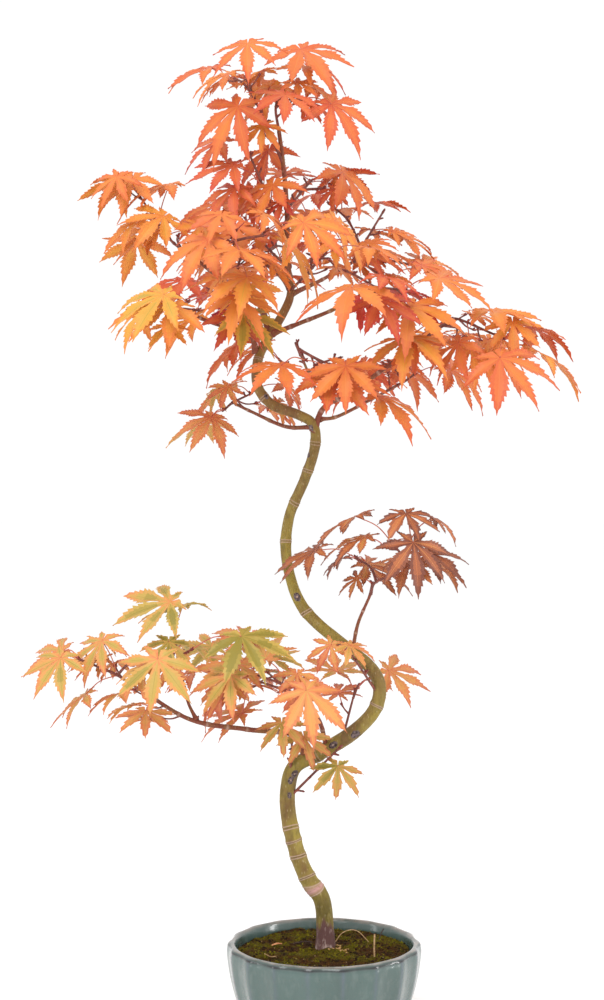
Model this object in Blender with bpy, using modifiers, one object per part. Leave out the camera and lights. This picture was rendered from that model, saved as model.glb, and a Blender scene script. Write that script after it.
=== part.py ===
"""A young Japanese maple in autumn leaf, standing in a round scalloped pot of glazed stoneware.

The trunk runs in long bends from the soil to the tip of its leader. Slender boughs leave it, and each
ends where it enters a mass of leaves. A mass grows by one seeded rule: a stem forks into shoots, each
shoot carries opposite pairs of long leaf stalks, and each stalk ends in a drooping five-lobed leaf.

Lengths in this file are millimetres, and MM turns them into Blender's metres. +Z is up, -Y is the
front, and the origin is the centre of the pot's flat underside.
"""

import math
import random

import bmesh
import bpy
import numpy as np

MM = 0.001
GAP = 0.3  # left between two solids that meet
UP = np.array((0.0, 0.0, 1.0))
LEVEL = np.array((1.0, 1.0, 0.0))  # times a vector, leaves its level part

# Pot: a stoneware bowl with eighteen slightly hollow facets, one of them square to the front.
POT_FOOT_RADIUS = 52.0
POT_FLOOR = 7.0
POT_OUTSIDE = ((72.6, 72.0), (75.4, 70.0), (76.0, 63.0), (73.2, 44.0), (67.4, 24.0), (58.0, 5.0))
POT_INSIDE = ((69.4, 71.0), (67.6, 62.0), (64.4, 38.0), (57.6, 15.0), (48.0, POT_FLOOR))
POT_FACETS = 18
POT_HOLLOW = 1.7  # how far the middle of a facet lies inside its corners
SOIL_TOP = 64.0

# Trunk: its middle line, from the soil through long bends to the tip of the leader.
TRUNK_LINE = (
    (1.2, 0, SOIL_TOP + GAP), (0.8, 0, 84), (-1.8, 0.5, 105), (-12, 2, 120), (-21.3, 4, 141.5),
    (-27.8, 6.5, 170), (-28, 7, 192), (-22.3, 5, 208.5), (-4, 0, 219), (22.5, -8, 236.5),
    (39.5, -12.5, 255.7), (42.5, -13, 274.5), (34, -10, 289), (19, -5, 301), (-9.5, 3, 324.5),
    (-22.7, 8.5, 344.7), (-29.8, 12, 375), (-26.9, 11, 405), (-15, 6, 433.5), (-7.2, 2, 458),
    (-8.5, -1, 475.7), (-20.5, -5, 483.5), (-39.5, -8, 490.5), (-51, -9, 503.7), (-52.5, -8, 521),
    (-46, -4, 539), (-31.5, 1, 564), (-26, 3, 581), (-29, 5, 608), (-29, 5, 645),
    (-32, 2, 680), (-35.2, 0, 705),
)
# Its radius, at shares of its length.
TRUNK_GIRTH = (
    (0, 6.9), (0.04, 6.6), (0.1, 6.3), (0.2, 5.9), (0.27, 5.7), (0.31, 5.2), (0.4, 4.7), (0.49, 4.2),
    (0.6, 4), (0.7, 3.8), (0.82, 3.3), (0.86, 2.1), (1, 1.6),
)
FLARE = 1.7  # extra radius of the root flare at the soil
FLARE_REACH = 9.0
# The trunk is split where it bends round a wide gap: name, first and last point of its line.
TRUNK_PIECES = (
    ("trunk_lower", 0, 11), ("trunk_middle", 11, 16), ("trunk_upper", 16, 19), ("trunk_top", 19, 31),
)
LIMB_STEP = 11.0  # between the rings of a limb
CUT_SPREAD = 1.03  # extra girth of a limb's cutter, as its flats needn't line up with the limb's
CAP_RUN = 2.0  # straight run before a flat end

# Boughs: name, limb that bears it, radius at its foot and at its end, and the points it passes.
BOUGHS = (
    ("bough_far_left", "trunk", 3.0, 1.6,
     ((-42, -1, 546), (-53, 6, 574), (-78, 18, 590), (-103, 28, 610))),
    ("bough_left_low", "trunk", 2.2, 1.4,
     ((-53, -6, 532), (-58, -14, 545), (-83, -34, 551), (-106, -54, 558))),
    ("bough_left_front", "trunk", 2.0, 1.3,
     ((-27, 2, 583), (-36, -14, 592), (-50, -38, 599))),
    ("bough_right_back", "trunk", 2.2, 1.3,
     ((-26, 3, 578), (-3, 20, 591), (12, 46, 603))),
    ("bough_right_front", "trunk", 2.2, 1.3,
     ((-40, -3, 547), (-19, -20, 553), (9, -42, 562), (32, -58, 573))),
    ("bough_back", "trunk", 2.0, 1.3,
     ((-28, 4, 600), (-32, 30, 606), (-40, 62, 618))),
    ("bough_fork", "trunk", 2.6, 1.7,
     ((-8, 0, 470), (0, -4, 489), (21, -10, 501), (50, -15, 521), (80, -16, 543))),
    ("bough_right_low", "bough_fork", 1.7, 1.2,
     ((-3, -2, 480), (11, 12, 483), (37, 34, 497), (60, 50, 510))),
    ("bough_centre", "bough_fork", 1.6, 1.1,
     ((2, -4, 491), (-7, -20, 503), (-18, -44, 526))),
    ("bough_centre_back", "bough_fork", 1.6, 1.1,
     ((4, -5, 492), (-2, 12, 500), (-10, 32, 511))),
    ("bough_left_mid", "trunk", 2.0, 1.3,
     ((-8, 0, 474), (-30, 14, 475), (-56, 34, 487), (-70, 44, 494))),
    ("bough_right_mid", "trunk", 1.8, 1.2,
     ((22, -6, 299), (26, -18, 322), (35, -32, 345))),
    ("bough_lower_left", "trunk", 2.8, 1.5,
     ((-14, 3, 215), (-24, -3, 234), (-60, -16, 240), (-102, -28, 249), (-140, -37, 273))),
    ("bough_lower_crest", "bough_lower_left", 1.6, 1.1,
     ((-98, -27, 249), (-104, -26, 261), (-107, -24, 272))),
    ("bough_lower_back", "trunk", 1.9, 1.3,
     ((2, -2, 225), (-6, 20, 246), (-26, 40, 262))),
    ("bough_lower_front", "trunk", 1.8, 1.2,
     ((2, -2, 224), (-4, -18, 248), (-18, -34, 263))),
)

# Masses of leaves: name, limb that bears it, the share of that limb's length where the stem leaves it
# (none where the stem goes straight on from the limb's end), length of a leaf's middle lobe, autumn
# tint, and the tip of each shoot. The first shoot is the stem itself.
MASSES = (
    ("leaves_tip_right", "trunk", None, 43, "flame",
     ((-25, 5, 750), (-20, -20, 725))),
    ("leaves_tip_left", "trunk", 0.97, 43, "gold",
     ((-60, -25, 740), (-70, 15, 750))),
    ("leaves_top_left", "trunk", 0.9, 39, "red",
     ((-60, -10, 690),)),
    ("leaves_top_back", "trunk", 0.93, 39, "flame",
     ((-10, 45, 675), (15, 70, 670))),
    ("leaves_far_left", "bough_far_left", None, 42, "amber",
     ((-150, 35, 665), (-130, 70, 635), (-115, 10, 625))),
    ("leaves_left_low", "bough_left_low", None, 42, "olive",
     ((-120, -65, 560), (-100, -95, 560), (-95, -45, 560))),
    ("leaves_left_front", "bough_left_front", None, 46, "gold",
     ((-70, -85, 605), (-45, -85, 610), (-65, -60, 590))),
    ("leaves_left_inner", "trunk", 0.8, 40, "red",
     ((-75, -25, 560), (-90, -5, 580))),
    ("leaves_right_back", "bough_right_back", None, 42, "flame",
     ((50, 70, 655), (5, 90, 665), (70, 60, 610))),
    ("leaves_crown_front", "trunk", 0.85, 45, "gold",
     ((0, -60, 600), (-10, -30, 610))),
    ("leaves_right_front", "bough_right_front", None, 47, "red",
     ((40, -70, 570), (15, -80, 585), (60, -50, 575))),
    ("leaves_back", "bough_back", None, 43, "flame",
     ((-60, 90, 645), (-30, 135, 635), (-95, 115, 635))),
    ("leaves_right_far", "bough_fork", None, 46, "gold",
     ((135, -35, 540), (90, -50, 550), (115, 20, 545))),
    ("leaves_right_low", "bough_right_low", None, 44, "flame",
     ((75, 65, 520), (50, 75, 530))),
    ("leaves_centre", "bough_centre", None, 45, "flame",
     ((-15, -75, 520), (10, -70, 515))),
    ("leaves_left_mid", "bough_left_mid", None, 40, "bronze",
     ((-80, 45, 490), (-60, 80, 505))),
    ("leaves_centre_back", "bough_centre_back", None, 44, "flame",
     ((-35, 50, 530), (15, 75, 535))),
    ("leaves_right_mid", "bough_right_mid", None, 40, "bronze",
     ((60, -40, 362), (50, -60, 385), (25, -10, 372))),
    ("leaves_sprig_mid", "trunk", 0.335, 26, "bronze",
     ((20, -30, 300),)),
    ("leaves_lower_left", "bough_lower_left", None, 42, "olive",
     ((-185, -45, 297), (-130, -65, 300))),
    ("leaves_lower_crest", "bough_lower_crest", None, 48, "olive",
     ((-115, -20, 310), (-100, -55, 305))),
    ("leaves_lower_back", "bough_lower_back", None, 42, "amber",
     ((-45, 65, 275), (-75, 85, 275))),
    ("leaves_lower_front", "bough_lower_front", None, 41, "gold",
     ((-55, -45, 282), (-30, -65, 275))),
    ("leaves_lower_right", "trunk", 0.27, 39, "amber",
     ((25, 25, 265),)),
    ("leaves_sprig_left", "trunk", 0.2, 29, "bronze",
     ((-25, -15, 230),)),
    ("leaves_sprig_right", "trunk", 0.165, 29, "bronze",
     ((12, -15, 226),)),
)
SHOOT_RADIUS = 1.1
SEED = 1  # fixes the random draws of every leaf
SHOOT_STEP = 15.0
FIRST_PAIR = 22.0  # least way from a shoot's foot to a pair of leaves
PAIR_STEP = 26.0  # between two pairs on a shoot
STALK_RADIUS = 0.7
STALK_SHARE = (0.4, 0.9)  # a stalk's length in leaf lengths
STALK_FORWARD = (0.3, 1.6)  # how far it leans along its shoot, against one sideways
STALK_RISE = (0.05, 0.55)  # and upwards
STALK_STRAY = 0.2
LEAF_SPREAD = (0.82, 1.12)  # leaf sizes within a mass
OUTWARD = 0.35  # how far a blade turns away from the trunk's top
BLADE_STRAY = 28  # how far it strays from there, in degrees
HANG = (5, 60)  # how steeply it hangs, in degrees
TILT_STRAY = 12  # how far it leans about its middle lobe, in degrees
LIGHT = np.array((0.0, -0.9, 0.45))  # the side the tree was lit from as it grew
LIGHT_TURN = (0.1, 1.2)  # how far a blade turns to it
DROOP = (0.12, 0.34)  # how far a lobe's tip curls down, as a share of its length
TRIES = 14  # for a leaf to find a free place

# Leaf: the lobes' angles from the middle one, in degrees, and their shares of its length.
LEAF_LOBES = ((-84, 0.76), (-41, 0.95), (0, 1.0), (41, 0.95), (84, 0.76))
LOBE_STRAY = 3.0  # how far a lobe may turn from its angle
LOBE_SPREAD = (0.92, 1.06)
LOBE_WIDTH = 0.30  # share of the lobe's length
LOBE_WIDEST = 0.55  # where on its length
LOBE_HALF = math.degrees(math.atan2(0.5 * LOBE_WIDTH, LOBE_WIDEST))
SINUS = 0.2  # where two lobes part, as a share of the middle lobe
FOOT = 0.1  # how far the blade reaches behind the stalk
FOOT_ANGLE = 140
HEART = 0.015  # where the blade is thickest, as a share of the middle lobe
HEART_THICK = 0.9  # half its thickness there

# Beads are round places that a limb, stalk or blade takes up while the crown grows.
BEAD_STEP = 4.5
LIMB_MARGIN = 1.0
STALK_BEAD = 1.4
BLADE_BEAD = 4.4
LOBE_BEADS = 6
OWN_SHARE = 0.55  # how near two leaves of one mass may come, as a share of the usual distance

# Finish: base colour and roughness.
FINISHES = {
    "glaze": ((0.16, 0.26, 0.23, 1), 0.25),
    "soil": ((0.07, 0.07, 0.03, 1), 0.95),
    "bark": ((0.16, 0.15, 0.05, 1), 0.7),
    "gold": ((0.85, 0.36, 0.06, 1), 0.55),
    "amber": ((0.80, 0.27, 0.05, 1), 0.55),
    "flame": ((0.75, 0.16, 0.05, 1), 0.55),
    "red": ((0.55, 0.05, 0.03, 1), 0.55),
    "olive": ((0.38, 0.30, 0.06, 1), 0.55),
    "bronze": ((0.36, 0.14, 0.04, 1), 0.55),
}


# Lines


def unit(vector):
    vector = np.asarray(vector, float)
    return vector / np.linalg.norm(vector)


def smooth_line(points, step):
    """A Catmull-Rom curve through the points, with one point about every step."""
    points = np.asarray(points, float)
    ends = np.vstack([2 * points[0] - points[1], points, 2 * points[-1] - points[-2]])
    line = [points[0]]
    for before, start, end, after in zip(ends, ends[1:], ends[2:], ends[3:]):
        count = max(1, round(np.linalg.norm(end - start) / step))
        for i in range(1, count + 1):
            t = i / count
            bend = 2 * before - 5 * start + 4 * end - after
            twist = 3 * start - before - 3 * end + after
            line.append(0.5 * (2 * start + (end - before) * t + bend * t**2 + twist * t**3))
    return np.array(line)


def tangents(line):
    return np.array([unit(step) for step in np.gradient(line, axis=0)])


def way_along(line):
    """How far along the line each of its points lies."""
    return np.concatenate([[0], np.cumsum(np.linalg.norm(np.diff(line, axis=0), axis=1))])


def square_ends(line, start, end):
    """The line with a straight run along the given headings at its ends, for flat ends square to them."""
    rows = [line[1:-1]]
    if start is not None:
        rows = [np.array([line[0], line[0] + CAP_RUN * start])] + rows
    else:
        rows = [line[:1]] + rows
    if end is not None:
        rows.append(np.array([line[-1] - CAP_RUN * end, line[-1]]))
    else:
        rows.append(line[-1:])
    return np.vstack(rows)


def trunk_radii(line):
    """The trunk's taper and root flare at each point of its whole line."""
    run = way_along(line)
    shares, radii = zip(*TRUNK_GIRTH)
    return np.interp(run / run[-1], shares, radii) + FLARE * np.exp(-run / FLARE_REACH)


def limb_lines():
    """The middle line and radii of the whole trunk and of every bough, by name."""
    trunk = smooth_line(TRUNK_LINE, LIMB_STEP)
    limbs = {"trunk": (trunk, trunk_radii(trunk))}
    for name, _, foot, end, points in BOUGHS:
        line = smooth_line(points, LIMB_STEP)
        line = square_ends(line, None, unit(line[-1] - line[-2]))
        run = way_along(line)
        limbs[name] = (line, foot + (end - foot) * run / run[-1])
    return limbs


# Growth of the masses


class Space:
    """Every limb, stalk and blade grown so far, as beads: x, y, z, radius and owner."""

    def __init__(self):
        self.beads = np.empty((0, 5))

    def add(self, beads, owner):
        self.beads = np.vstack([self.beads, np.column_stack([beads, np.full(len(beads), owner)])])

    def is_free(self, beads, owner):
        """Whether the beads keep clear of all that others own, and half as clear of their own mass."""
        low = beads[:, :3].min(axis=0) - 2 * BLADE_BEAD - LIMB_MARGIN
        high = beads[:, :3].max(axis=0) + 2 * BLADE_BEAD + LIMB_MARGIN
        others = self.beads[((self.beads[:, :3] > low) & (self.beads[:, :3] < high)).all(axis=1)]
        apart = np.linalg.norm(beads[:, None, :3] - others[None, :, :3], axis=2)
        near = beads[:, None, 3] + others[None, :, 3]
        near = np.where(others[None, :, 4] == owner, OWN_SHARE * near, near)
        return bool((apart > near).all())


def line_beads(line, radii):
    """Beads along a line."""
    run = way_along(line)
    places = np.linspace(0, run[-1], max(2, math.ceil(run[-1] / BEAD_STEP)))
    columns = [np.interp(places, run, line[:, axis]) for axis in range(3)]
    return np.column_stack(columns + [np.interp(places, run, np.broadcast_to(radii, len(line)))])


class Leaf:
    """A leaf's stalk line, and its blade's frame, length, droop and lobes."""

    def __init__(self, stalk, along, face, length, droop, lobes):
        self.stalk = stalk
        self.along = along
        self.face = face
        self.across = np.cross(along, face)
        self.length = length
        self.droop = droop
        self.lobes = lobes

    def place(self, angle, reach, lift=0.0):
        """The point at an angle from the middle lobe and a reach in leaf lengths, lifted off the blade."""
        flat = reach * math.sin(angle) * self.across + reach * math.cos(angle) * self.along
        return self.stalk[-1] + self.length * (flat - self.droop * reach**2 * self.face) + lift * self.face

    def beads(self):
        """Beads along the long lobes and the stalk, but not where the stalk leaves its shoot."""
        lobes = [
            self.place(math.radians(angle), size * step / LOBE_BEADS)
            for angle, size in self.lobes
            for step in range(1, LOBE_BEADS + 1)
        ]
        edges = [
            self.place(math.radians(angle + side), LOBE_WIDEST * size)
            for angle, size in self.lobes
            for side in (-LOBE_HALF, LOBE_HALF)
        ]
        blade = np.column_stack([np.array(lobes), np.full(len(lobes), BLADE_BEAD)])
        rim = np.column_stack([np.array(edges), np.full(len(edges), STALK_BEAD)])
        return np.vstack([blade, rim, line_beads(self.stalk, STALK_BEAD)[2:]])


def turned_about(vector, axis, angle):
    """A vector square to the axis, turned about it."""
    return vector * math.cos(angle) + np.cross(axis, vector) * math.sin(angle)


def grow_leaf(rng, node, heading, side, length):
    """A leaf whose stalk leaves a node to one side of its shoot, with its blade hanging outwards."""
    stray = np.array([rng.gauss(0, STALK_STRAY) for _ in range(3)])
    out = unit(rng.uniform(*STALK_FORWARD) * heading + side + rng.uniform(*STALK_RISE) * UP + stray)
    size = length * rng.uniform(*LEAF_SPREAD)
    run = size * rng.uniform(*STALK_SHARE)
    stalk = np.array([node, node + 0.5 * run * out, node + run * unit(out - 0.25 * UP)])
    level = unit(LEVEL * out + OUTWARD * unit(LEVEL * (stalk[-1] - TRUNK_LINE[-1])))
    level = turned_about(level, UP, math.radians(rng.gauss(0, BLADE_STRAY)))
    hang = math.radians(rng.uniform(*HANG))
    along = level * math.cos(hang) - UP * math.sin(hang)
    face = level * math.sin(hang) + UP * math.cos(hang)
    face = turned_about(face, along, math.radians(rng.gauss(0, TILT_STRAY)))
    face = unit(face + rng.uniform(*LIGHT_TURN) * LIGHT)
    along = unit(along - (along @ face) * face)
    lobes = []
    for angle, share in LEAF_LOBES:
        stray = max(-LOBE_STRAY, min(LOBE_STRAY, rng.gauss(0, LOBE_STRAY)))
        lobes.append((angle + stray, share * rng.uniform(*LOBE_SPREAD)))
    return Leaf(stalk, along, face, size, rng.uniform(*DROOP), lobes)


def forked_shoot(stem, tip):
    """A shoot that leaves the stem at a slant and ends at the tip."""
    apart = np.linalg.norm(stem - tip, axis=1)
    nearest = int(apart.argmin())
    run = way_along(stem)
    start = int(np.searchsorted(run, run[nearest] - 0.6 * apart[nearest]))
    start = max(1, min(start, nearest))
    middle = 0.5 * (stem[start] + tip) + 0.1 * apart[start] * tangents(stem)[start]
    return smooth_line([stem[start], middle, tip], SHOOT_STEP)


def grow_shoot(shoot, seed, length, owner, space):
    """The leaves of one shoot, in opposite pairs from its tip back, each pair turned square to the last.

    A leaf that finds no free place in a few tries is skipped.
    """
    run = way_along(shoot)
    headings = tangents(shoot)
    level = unit(np.cross(headings[-1], UP))
    leaves = []
    for pair in range(1 + int(max(0, run[-1] - FIRST_PAIR) // PAIR_STEP)):
        at = int(np.abs(run - (run[-1] - pair * PAIR_STEP)).argmin())
        axis = level if pair % 2 == 0 else np.cross(level, headings[at])
        for side in (-1, 1):
            rng = random.Random(f"{seed} {pair} {side}")
            for _ in range(TRIES):
                leaf = grow_leaf(rng, shoot[at], headings[at], side * axis, length)
                if space.is_free(leaf.beads(), owner):
                    space.add(leaf.beads(), owner)
                    leaves.append(leaf)
                    break
    return leaves


def stem_line(limbs, limb, share, tip):
    """The way from a limb's end, or from its side, to the tip of a mass's first shoot."""
    line = limbs[limb][0]
    if share is None:
        heading = unit(line[-1] - line[-2])
        foot = line[-1] + GAP * heading
    else:
        foot = line[round(share * (len(line) - 1))]
        heading = unit(tip - foot)
    return smooth_line([foot, foot + 0.4 * np.linalg.norm(tip - foot) * heading, tip], SHOOT_STEP)


def lay_shoots(limbs, limb, share, tips):
    """The shoots of a mass: its stem, and those that fork from it."""
    tips = [np.array(tip, float) for tip in tips]
    stem = stem_line(limbs, limb, share, tips[0])
    return [stem] + [forked_shoot(stem, tip) for tip in tips[1:]]


def grow_crown(limbs):
    """The shoots and leaves of every mass, by name. All shoots are laid first, and leaves keep off them."""
    space = Space()
    for line, radii in limbs.values():
        space.add(line_beads(line, radii + LIMB_MARGIN), -1)
    laid = [lay_shoots(limbs, limb, share, tips) for _, limb, share, _, _, tips in MASSES]
    for owner, shoots in enumerate(laid):
        for shoot in shoots:
            space.add(line_beads(shoot, STALK_BEAD), owner)
    crown = {}
    for owner, (name, _, _, length, *_) in enumerate(MASSES):
        leaves = []
        for index, shoot in enumerate(laid[owner]):
            leaves += grow_shoot(shoot, f"{SEED} {name} {index}", length, owner, space)
        crown[name] = (laid[owner], leaves)
    return crown


# Solids


def clear_scene():
    for thing in list(bpy.data.objects):
        bpy.data.objects.remove(thing)


def new_collection(name):
    collection = bpy.data.collections.new(name)
    bpy.context.scene.collection.children.link(collection)
    return collection


def section(sides):
    """A regular polygon of radius one millimetre, to sweep along a line."""
    curve = bpy.data.curves.new(f"section_{sides}", "CURVE")
    spline = curve.splines.new("POLY")
    spline.points.add(sides - 1)
    for i, point in enumerate(spline.points):
        angle = 2 * math.pi * i / sides
        point.co = (MM * math.cos(angle), MM * math.sin(angle), 0, 1)
    spline.use_cyclic_u = True
    shape = bpy.data.objects.new(f"section_{sides}", curve)
    shape.hide_render = True
    return shape


def welded_mesh(source, name):
    """The object's evaluated shape as a mesh with welded caps and outward faces. The source is removed."""
    bpy.context.view_layer.update()
    mesh = bpy.data.meshes.new_from_object(source.evaluated_get(bpy.context.evaluated_depsgraph_get()))
    bpy.data.objects.remove(source)
    mesh.name = name
    work = bmesh.new()
    work.from_mesh(mesh)
    bmesh.ops.remove_doubles(work, verts=work.verts, dist=1e-7)
    bmesh.ops.recalc_face_normals(work, faces=work.faces)
    work.to_mesh(mesh)
    work.free()
    return mesh


def add_solid(name, mesh, collection):
    solid = bpy.data.objects.new(name, mesh)
    collection.objects.link(solid)
    return solid


def tube(name, line, radii, shape, collection):
    """A closed tube: the section swept along the line and scaled by the radii."""
    curve = bpy.data.curves.new(name, "CURVE")
    curve.dimensions = "3D"
    curve.bevel_mode = "OBJECT"
    curve.bevel_object = shape
    curve.use_fill_caps = True
    spline = curve.splines.new("POLY")
    spline.points.add(len(line) - 1)
    for point, place, radius in zip(spline.points, line, np.broadcast_to(radii, len(line))):
        point.co = (*(MM * place), 1)
        point.radius = radius
    return add_solid(name, welded_mesh(add_solid(name, curve, collection), name), collection)


def blade(name, leaf, collection):
    """A lens-shaped blade: both sides rise from a sharp lobed outline to its heart."""
    work = bmesh.new()

    def vertex(angle, reach, lift=0.0):
        return work.verts.new(MM * leaf.place(angle, reach, lift))

    angles = [math.radians(angle) for angle, _ in leaf.lobes]
    half = math.radians(LOBE_HALF)
    foot = math.radians(FOOT_ANGLE)
    edge = [vertex(-foot, FOOT)]
    for i, (angle, (_, size)) in enumerate(zip(angles, leaf.lobes)):
        if i:
            edge.append(vertex(0.5 * (angles[i - 1] + angle), SINUS))
        edge.append(vertex(angle - half, LOBE_WIDEST * size))
        edge.append(vertex(angle, size))
        edge.append(vertex(angle + half, LOBE_WIDEST * size))
    edge.append(vertex(foot, FOOT))
    for lift in (HEART_THICK, -HEART_THICK):
        heart = vertex(0, HEART, lift)
        for a, b in zip(edge, edge[1:] + edge[:1]):
            work.faces.new((heart, a, b))
    bmesh.ops.recalc_face_normals(work, faces=work.faces)
    mesh = bpy.data.meshes.new(name)
    work.to_mesh(mesh)
    work.free()
    return add_solid(name, mesh, collection)


def boolean(solid, operation, other):
    """A live Boolean with one object or with a collection of objects."""
    modifier = solid.modifiers.new(operation.lower(), "BOOLEAN")
    modifier.operation = operation
    modifier.solver = "EXACT"
    if isinstance(other, bpy.types.Collection):
        modifier.operand_type = "COLLECTION"
        modifier.collection = other
    else:
        modifier.object = other


def keep_largest_body(mesh):
    """Drops the scraps and sealed hollows that a union can leave."""
    work = bmesh.new()
    work.from_mesh(mesh)
    unseen = set(work.faces)
    largest = set()
    while unseen:
        front = [unseen.pop()]
        body = set(front)
        while front:
            for edge in front.pop().edges:
                for face in unseen.intersection(edge.link_faces):
                    unseen.remove(face)
                    body.add(face)
                    front.append(face)
        largest = max(largest, body, key=len)
    bmesh.ops.delete(work, geom=[face for face in work.faces if face not in largest], context="FACES")
    work.to_mesh(mesh)
    work.free()


def finish(solid, name):
    """Gives a solid its plain material and smooth shading with sharp corners kept."""
    material = bpy.data.materials.get(name)
    if material is None:
        material = bpy.data.materials.new(name)
        material.use_nodes = True
        shader = material.node_tree.nodes["Principled BSDF"]
        colour, roughness = FINISHES[name]
        shader.inputs["Base Color"].default_value = colour
        shader.inputs["Roughness"].default_value = roughness
        shader.inputs["Metallic"].default_value = 0.0
    solid.data.materials.clear()
    solid.data.materials.append(material)
    solid.data.shade_smooth()
    solid.data.set_sharp_from_angle(angle=math.radians(40))


def turned_solid(name, profile, steps, collection):
    """A solid of revolution about Z. The profile runs from the top of the axis down its outer side."""
    mesh = bpy.data.meshes.new(name)
    mesh.from_pydata(
        [(MM * radius, 0, MM * height) for radius, height in profile],
        [(i, i + 1) for i in range(len(profile) - 1)],
        [],
    )
    source = add_solid(name, mesh, collection)
    screw = source.modifiers.new("turn", "SCREW")
    screw.steps = steps
    screw.render_steps = steps
    screw.use_merge_vertices = True
    screw.merge_threshold = 0.00005
    return add_solid(name, welded_mesh(source, name), collection)


def make_pot(parts):
    """The bowl. Its outer side and lip are drawn in along the middle of each facet."""
    outside = [(0, 0), (POT_FOOT_RADIUS, 0)] + list(POT_OUTSIDE[::-1])
    profile = [(0, POT_FLOOR)] + list(POT_INSIDE[::-1]) + outside[::-1]
    pot = turned_solid("pot", profile, 2 * POT_FACETS, parts)
    corners = {round(MM * radius, 6) for radius, _ in POT_OUTSIDE}
    for vertex in pot.data.vertices:
        radius = math.hypot(vertex.co.x, vertex.co.y)
        turn = POT_FACETS * math.atan2(vertex.co.y, vertex.co.x) / (2 * math.pi) + POT_FACETS / 4
        if round(radius, 6) in corners and round(2 * turn) % 2 == 0:
            vertex.co.x *= 1 - MM * POT_HOLLOW / radius
            vertex.co.y *= 1 - MM * POT_HOLLOW / radius
    finish(pot, "glaze")


def make_soil(parts):
    """The soil fills the bowl and is flat on top."""
    radii, heights = zip(*POT_INSIDE[::-1])
    below = [(radius - 1.5 * GAP, height + GAP) for radius, height in POT_INSIDE if height < SOIL_TOP]
    edge = float(np.interp(SOIL_TOP, heights, radii)) - 1.5 * GAP
    profile = [(0, SOIL_TOP), (edge, SOIL_TOP)] + below + [(0, POT_FLOOR + GAP)]
    finish(turned_solid("soil", profile, 2 * POT_FACETS, parts), "soil")


def make_limbs(limbs, stout, slim, parts, cutters):
    """The trunk's pieces and the boughs, each bough cut clear of the limb that bears it."""
    for limb in {"trunk"} | {bearer for _, bearer, *_ in BOUGHS}:
        line, radii = limbs[limb]
        cutter = tube(f"around_{limb}", line, CUT_SPREAD * radii + GAP, stout, cutters)
        cutter.hide_render = True
        cutter.display_type = "WIRE"
    line, radii = limbs["trunk"]
    headings = tangents(line)
    ends = [int(np.linalg.norm(line - point, axis=1).argmin()) for point in TRUNK_LINE]
    for name, first, last in TRUNK_PIECES:
        a, b = ends[first], ends[last]
        piece = line[a : b + 1].copy()
        start = headings[a] if first else None
        end = headings[b] if last < len(TRUNK_LINE) - 1 else None
        thick = radii[a : b + 1]
        if start is not None:
            piece[0] += 0.5 * GAP * start
            thick = np.concatenate([thick[:1], thick])
        if end is not None:
            piece[-1] -= 0.5 * GAP * end
            thick = np.concatenate([thick, thick[-1:]])
        finish(tube(name, square_ends(piece, start, end), thick, stout, parts), "bark")
    for name, bearer, *_ in BOUGHS:
        bough = tube(name, *limbs[name], slim, parts)
        boolean(bough, "DIFFERENCE", bpy.data.objects[f"around_{bearer}"])
        finish(bough, "bark")


def make_mass(name, bearer, share, tint, shoots, leaves, shapes, parts):
    """One mass: shoots, stalks and blades joined by a single union, its foot cut clear of the limb."""
    pieces = new_collection(f"{name}_pieces")
    stout, slim = shapes
    stem_path = square_ends(shoots[0], unit(shoots[0][1] - shoots[0][0]), None)
    stem = tube(name, stem_path, SHOOT_RADIUS, stout, parts)
    for i, shoot in enumerate(shoots[1:]):
        tube(f"{name}_shoot_{i}", shoot, SHOOT_RADIUS, slim, pieces)
    for i, leaf in enumerate(leaves):
        tube(f"{name}_stalk_{i}", leaf.stalk, STALK_RADIUS, slim, pieces)
        blade(f"{name}_blade_{i}", leaf, pieces)
    boolean(stem, "UNION", pieces)
    if share is not None:
        boolean(stem, "DIFFERENCE", bpy.data.objects[f"around_{bearer}"])
    mesh = welded_mesh(stem, name)
    for piece in list(pieces.objects):
        bpy.data.objects.remove(piece)
    bpy.data.collections.remove(pieces)
    keep_largest_body(mesh)
    finish(add_solid(name, mesh, parts), tint)


def main():
    clear_scene()
    parts = new_collection("japanese_maple_bonsai")
    cutters = new_collection("cutters")
    stout, slim, slimmest = section(8), section(5), section(3)
    make_pot(parts)
    make_soil(parts)
    limbs = limb_lines()
    make_limbs(limbs, stout, slim, parts, cutters)
    crown = grow_crown(limbs)
    for name, bearer, share, _, tint, _ in MASSES:
        shoots, leaves = crown[name]
        make_mass(name, bearer, share, tint, shoots, leaves, (slim, slimmest), parts)


if __name__ == "__main__":
    main()
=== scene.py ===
"""Dresses the Japanese maple and its pot: bark, twigs, leaves, buds, moss and glaze, with a plain studio.

The crown grows by the rule of the part's own source, written again here with the same names, sizes and
seed, and then carried on to finer twigs. Lengths are millimetres until MM makes them metres.
"""

import contextlib
import functools
import math
import random

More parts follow.
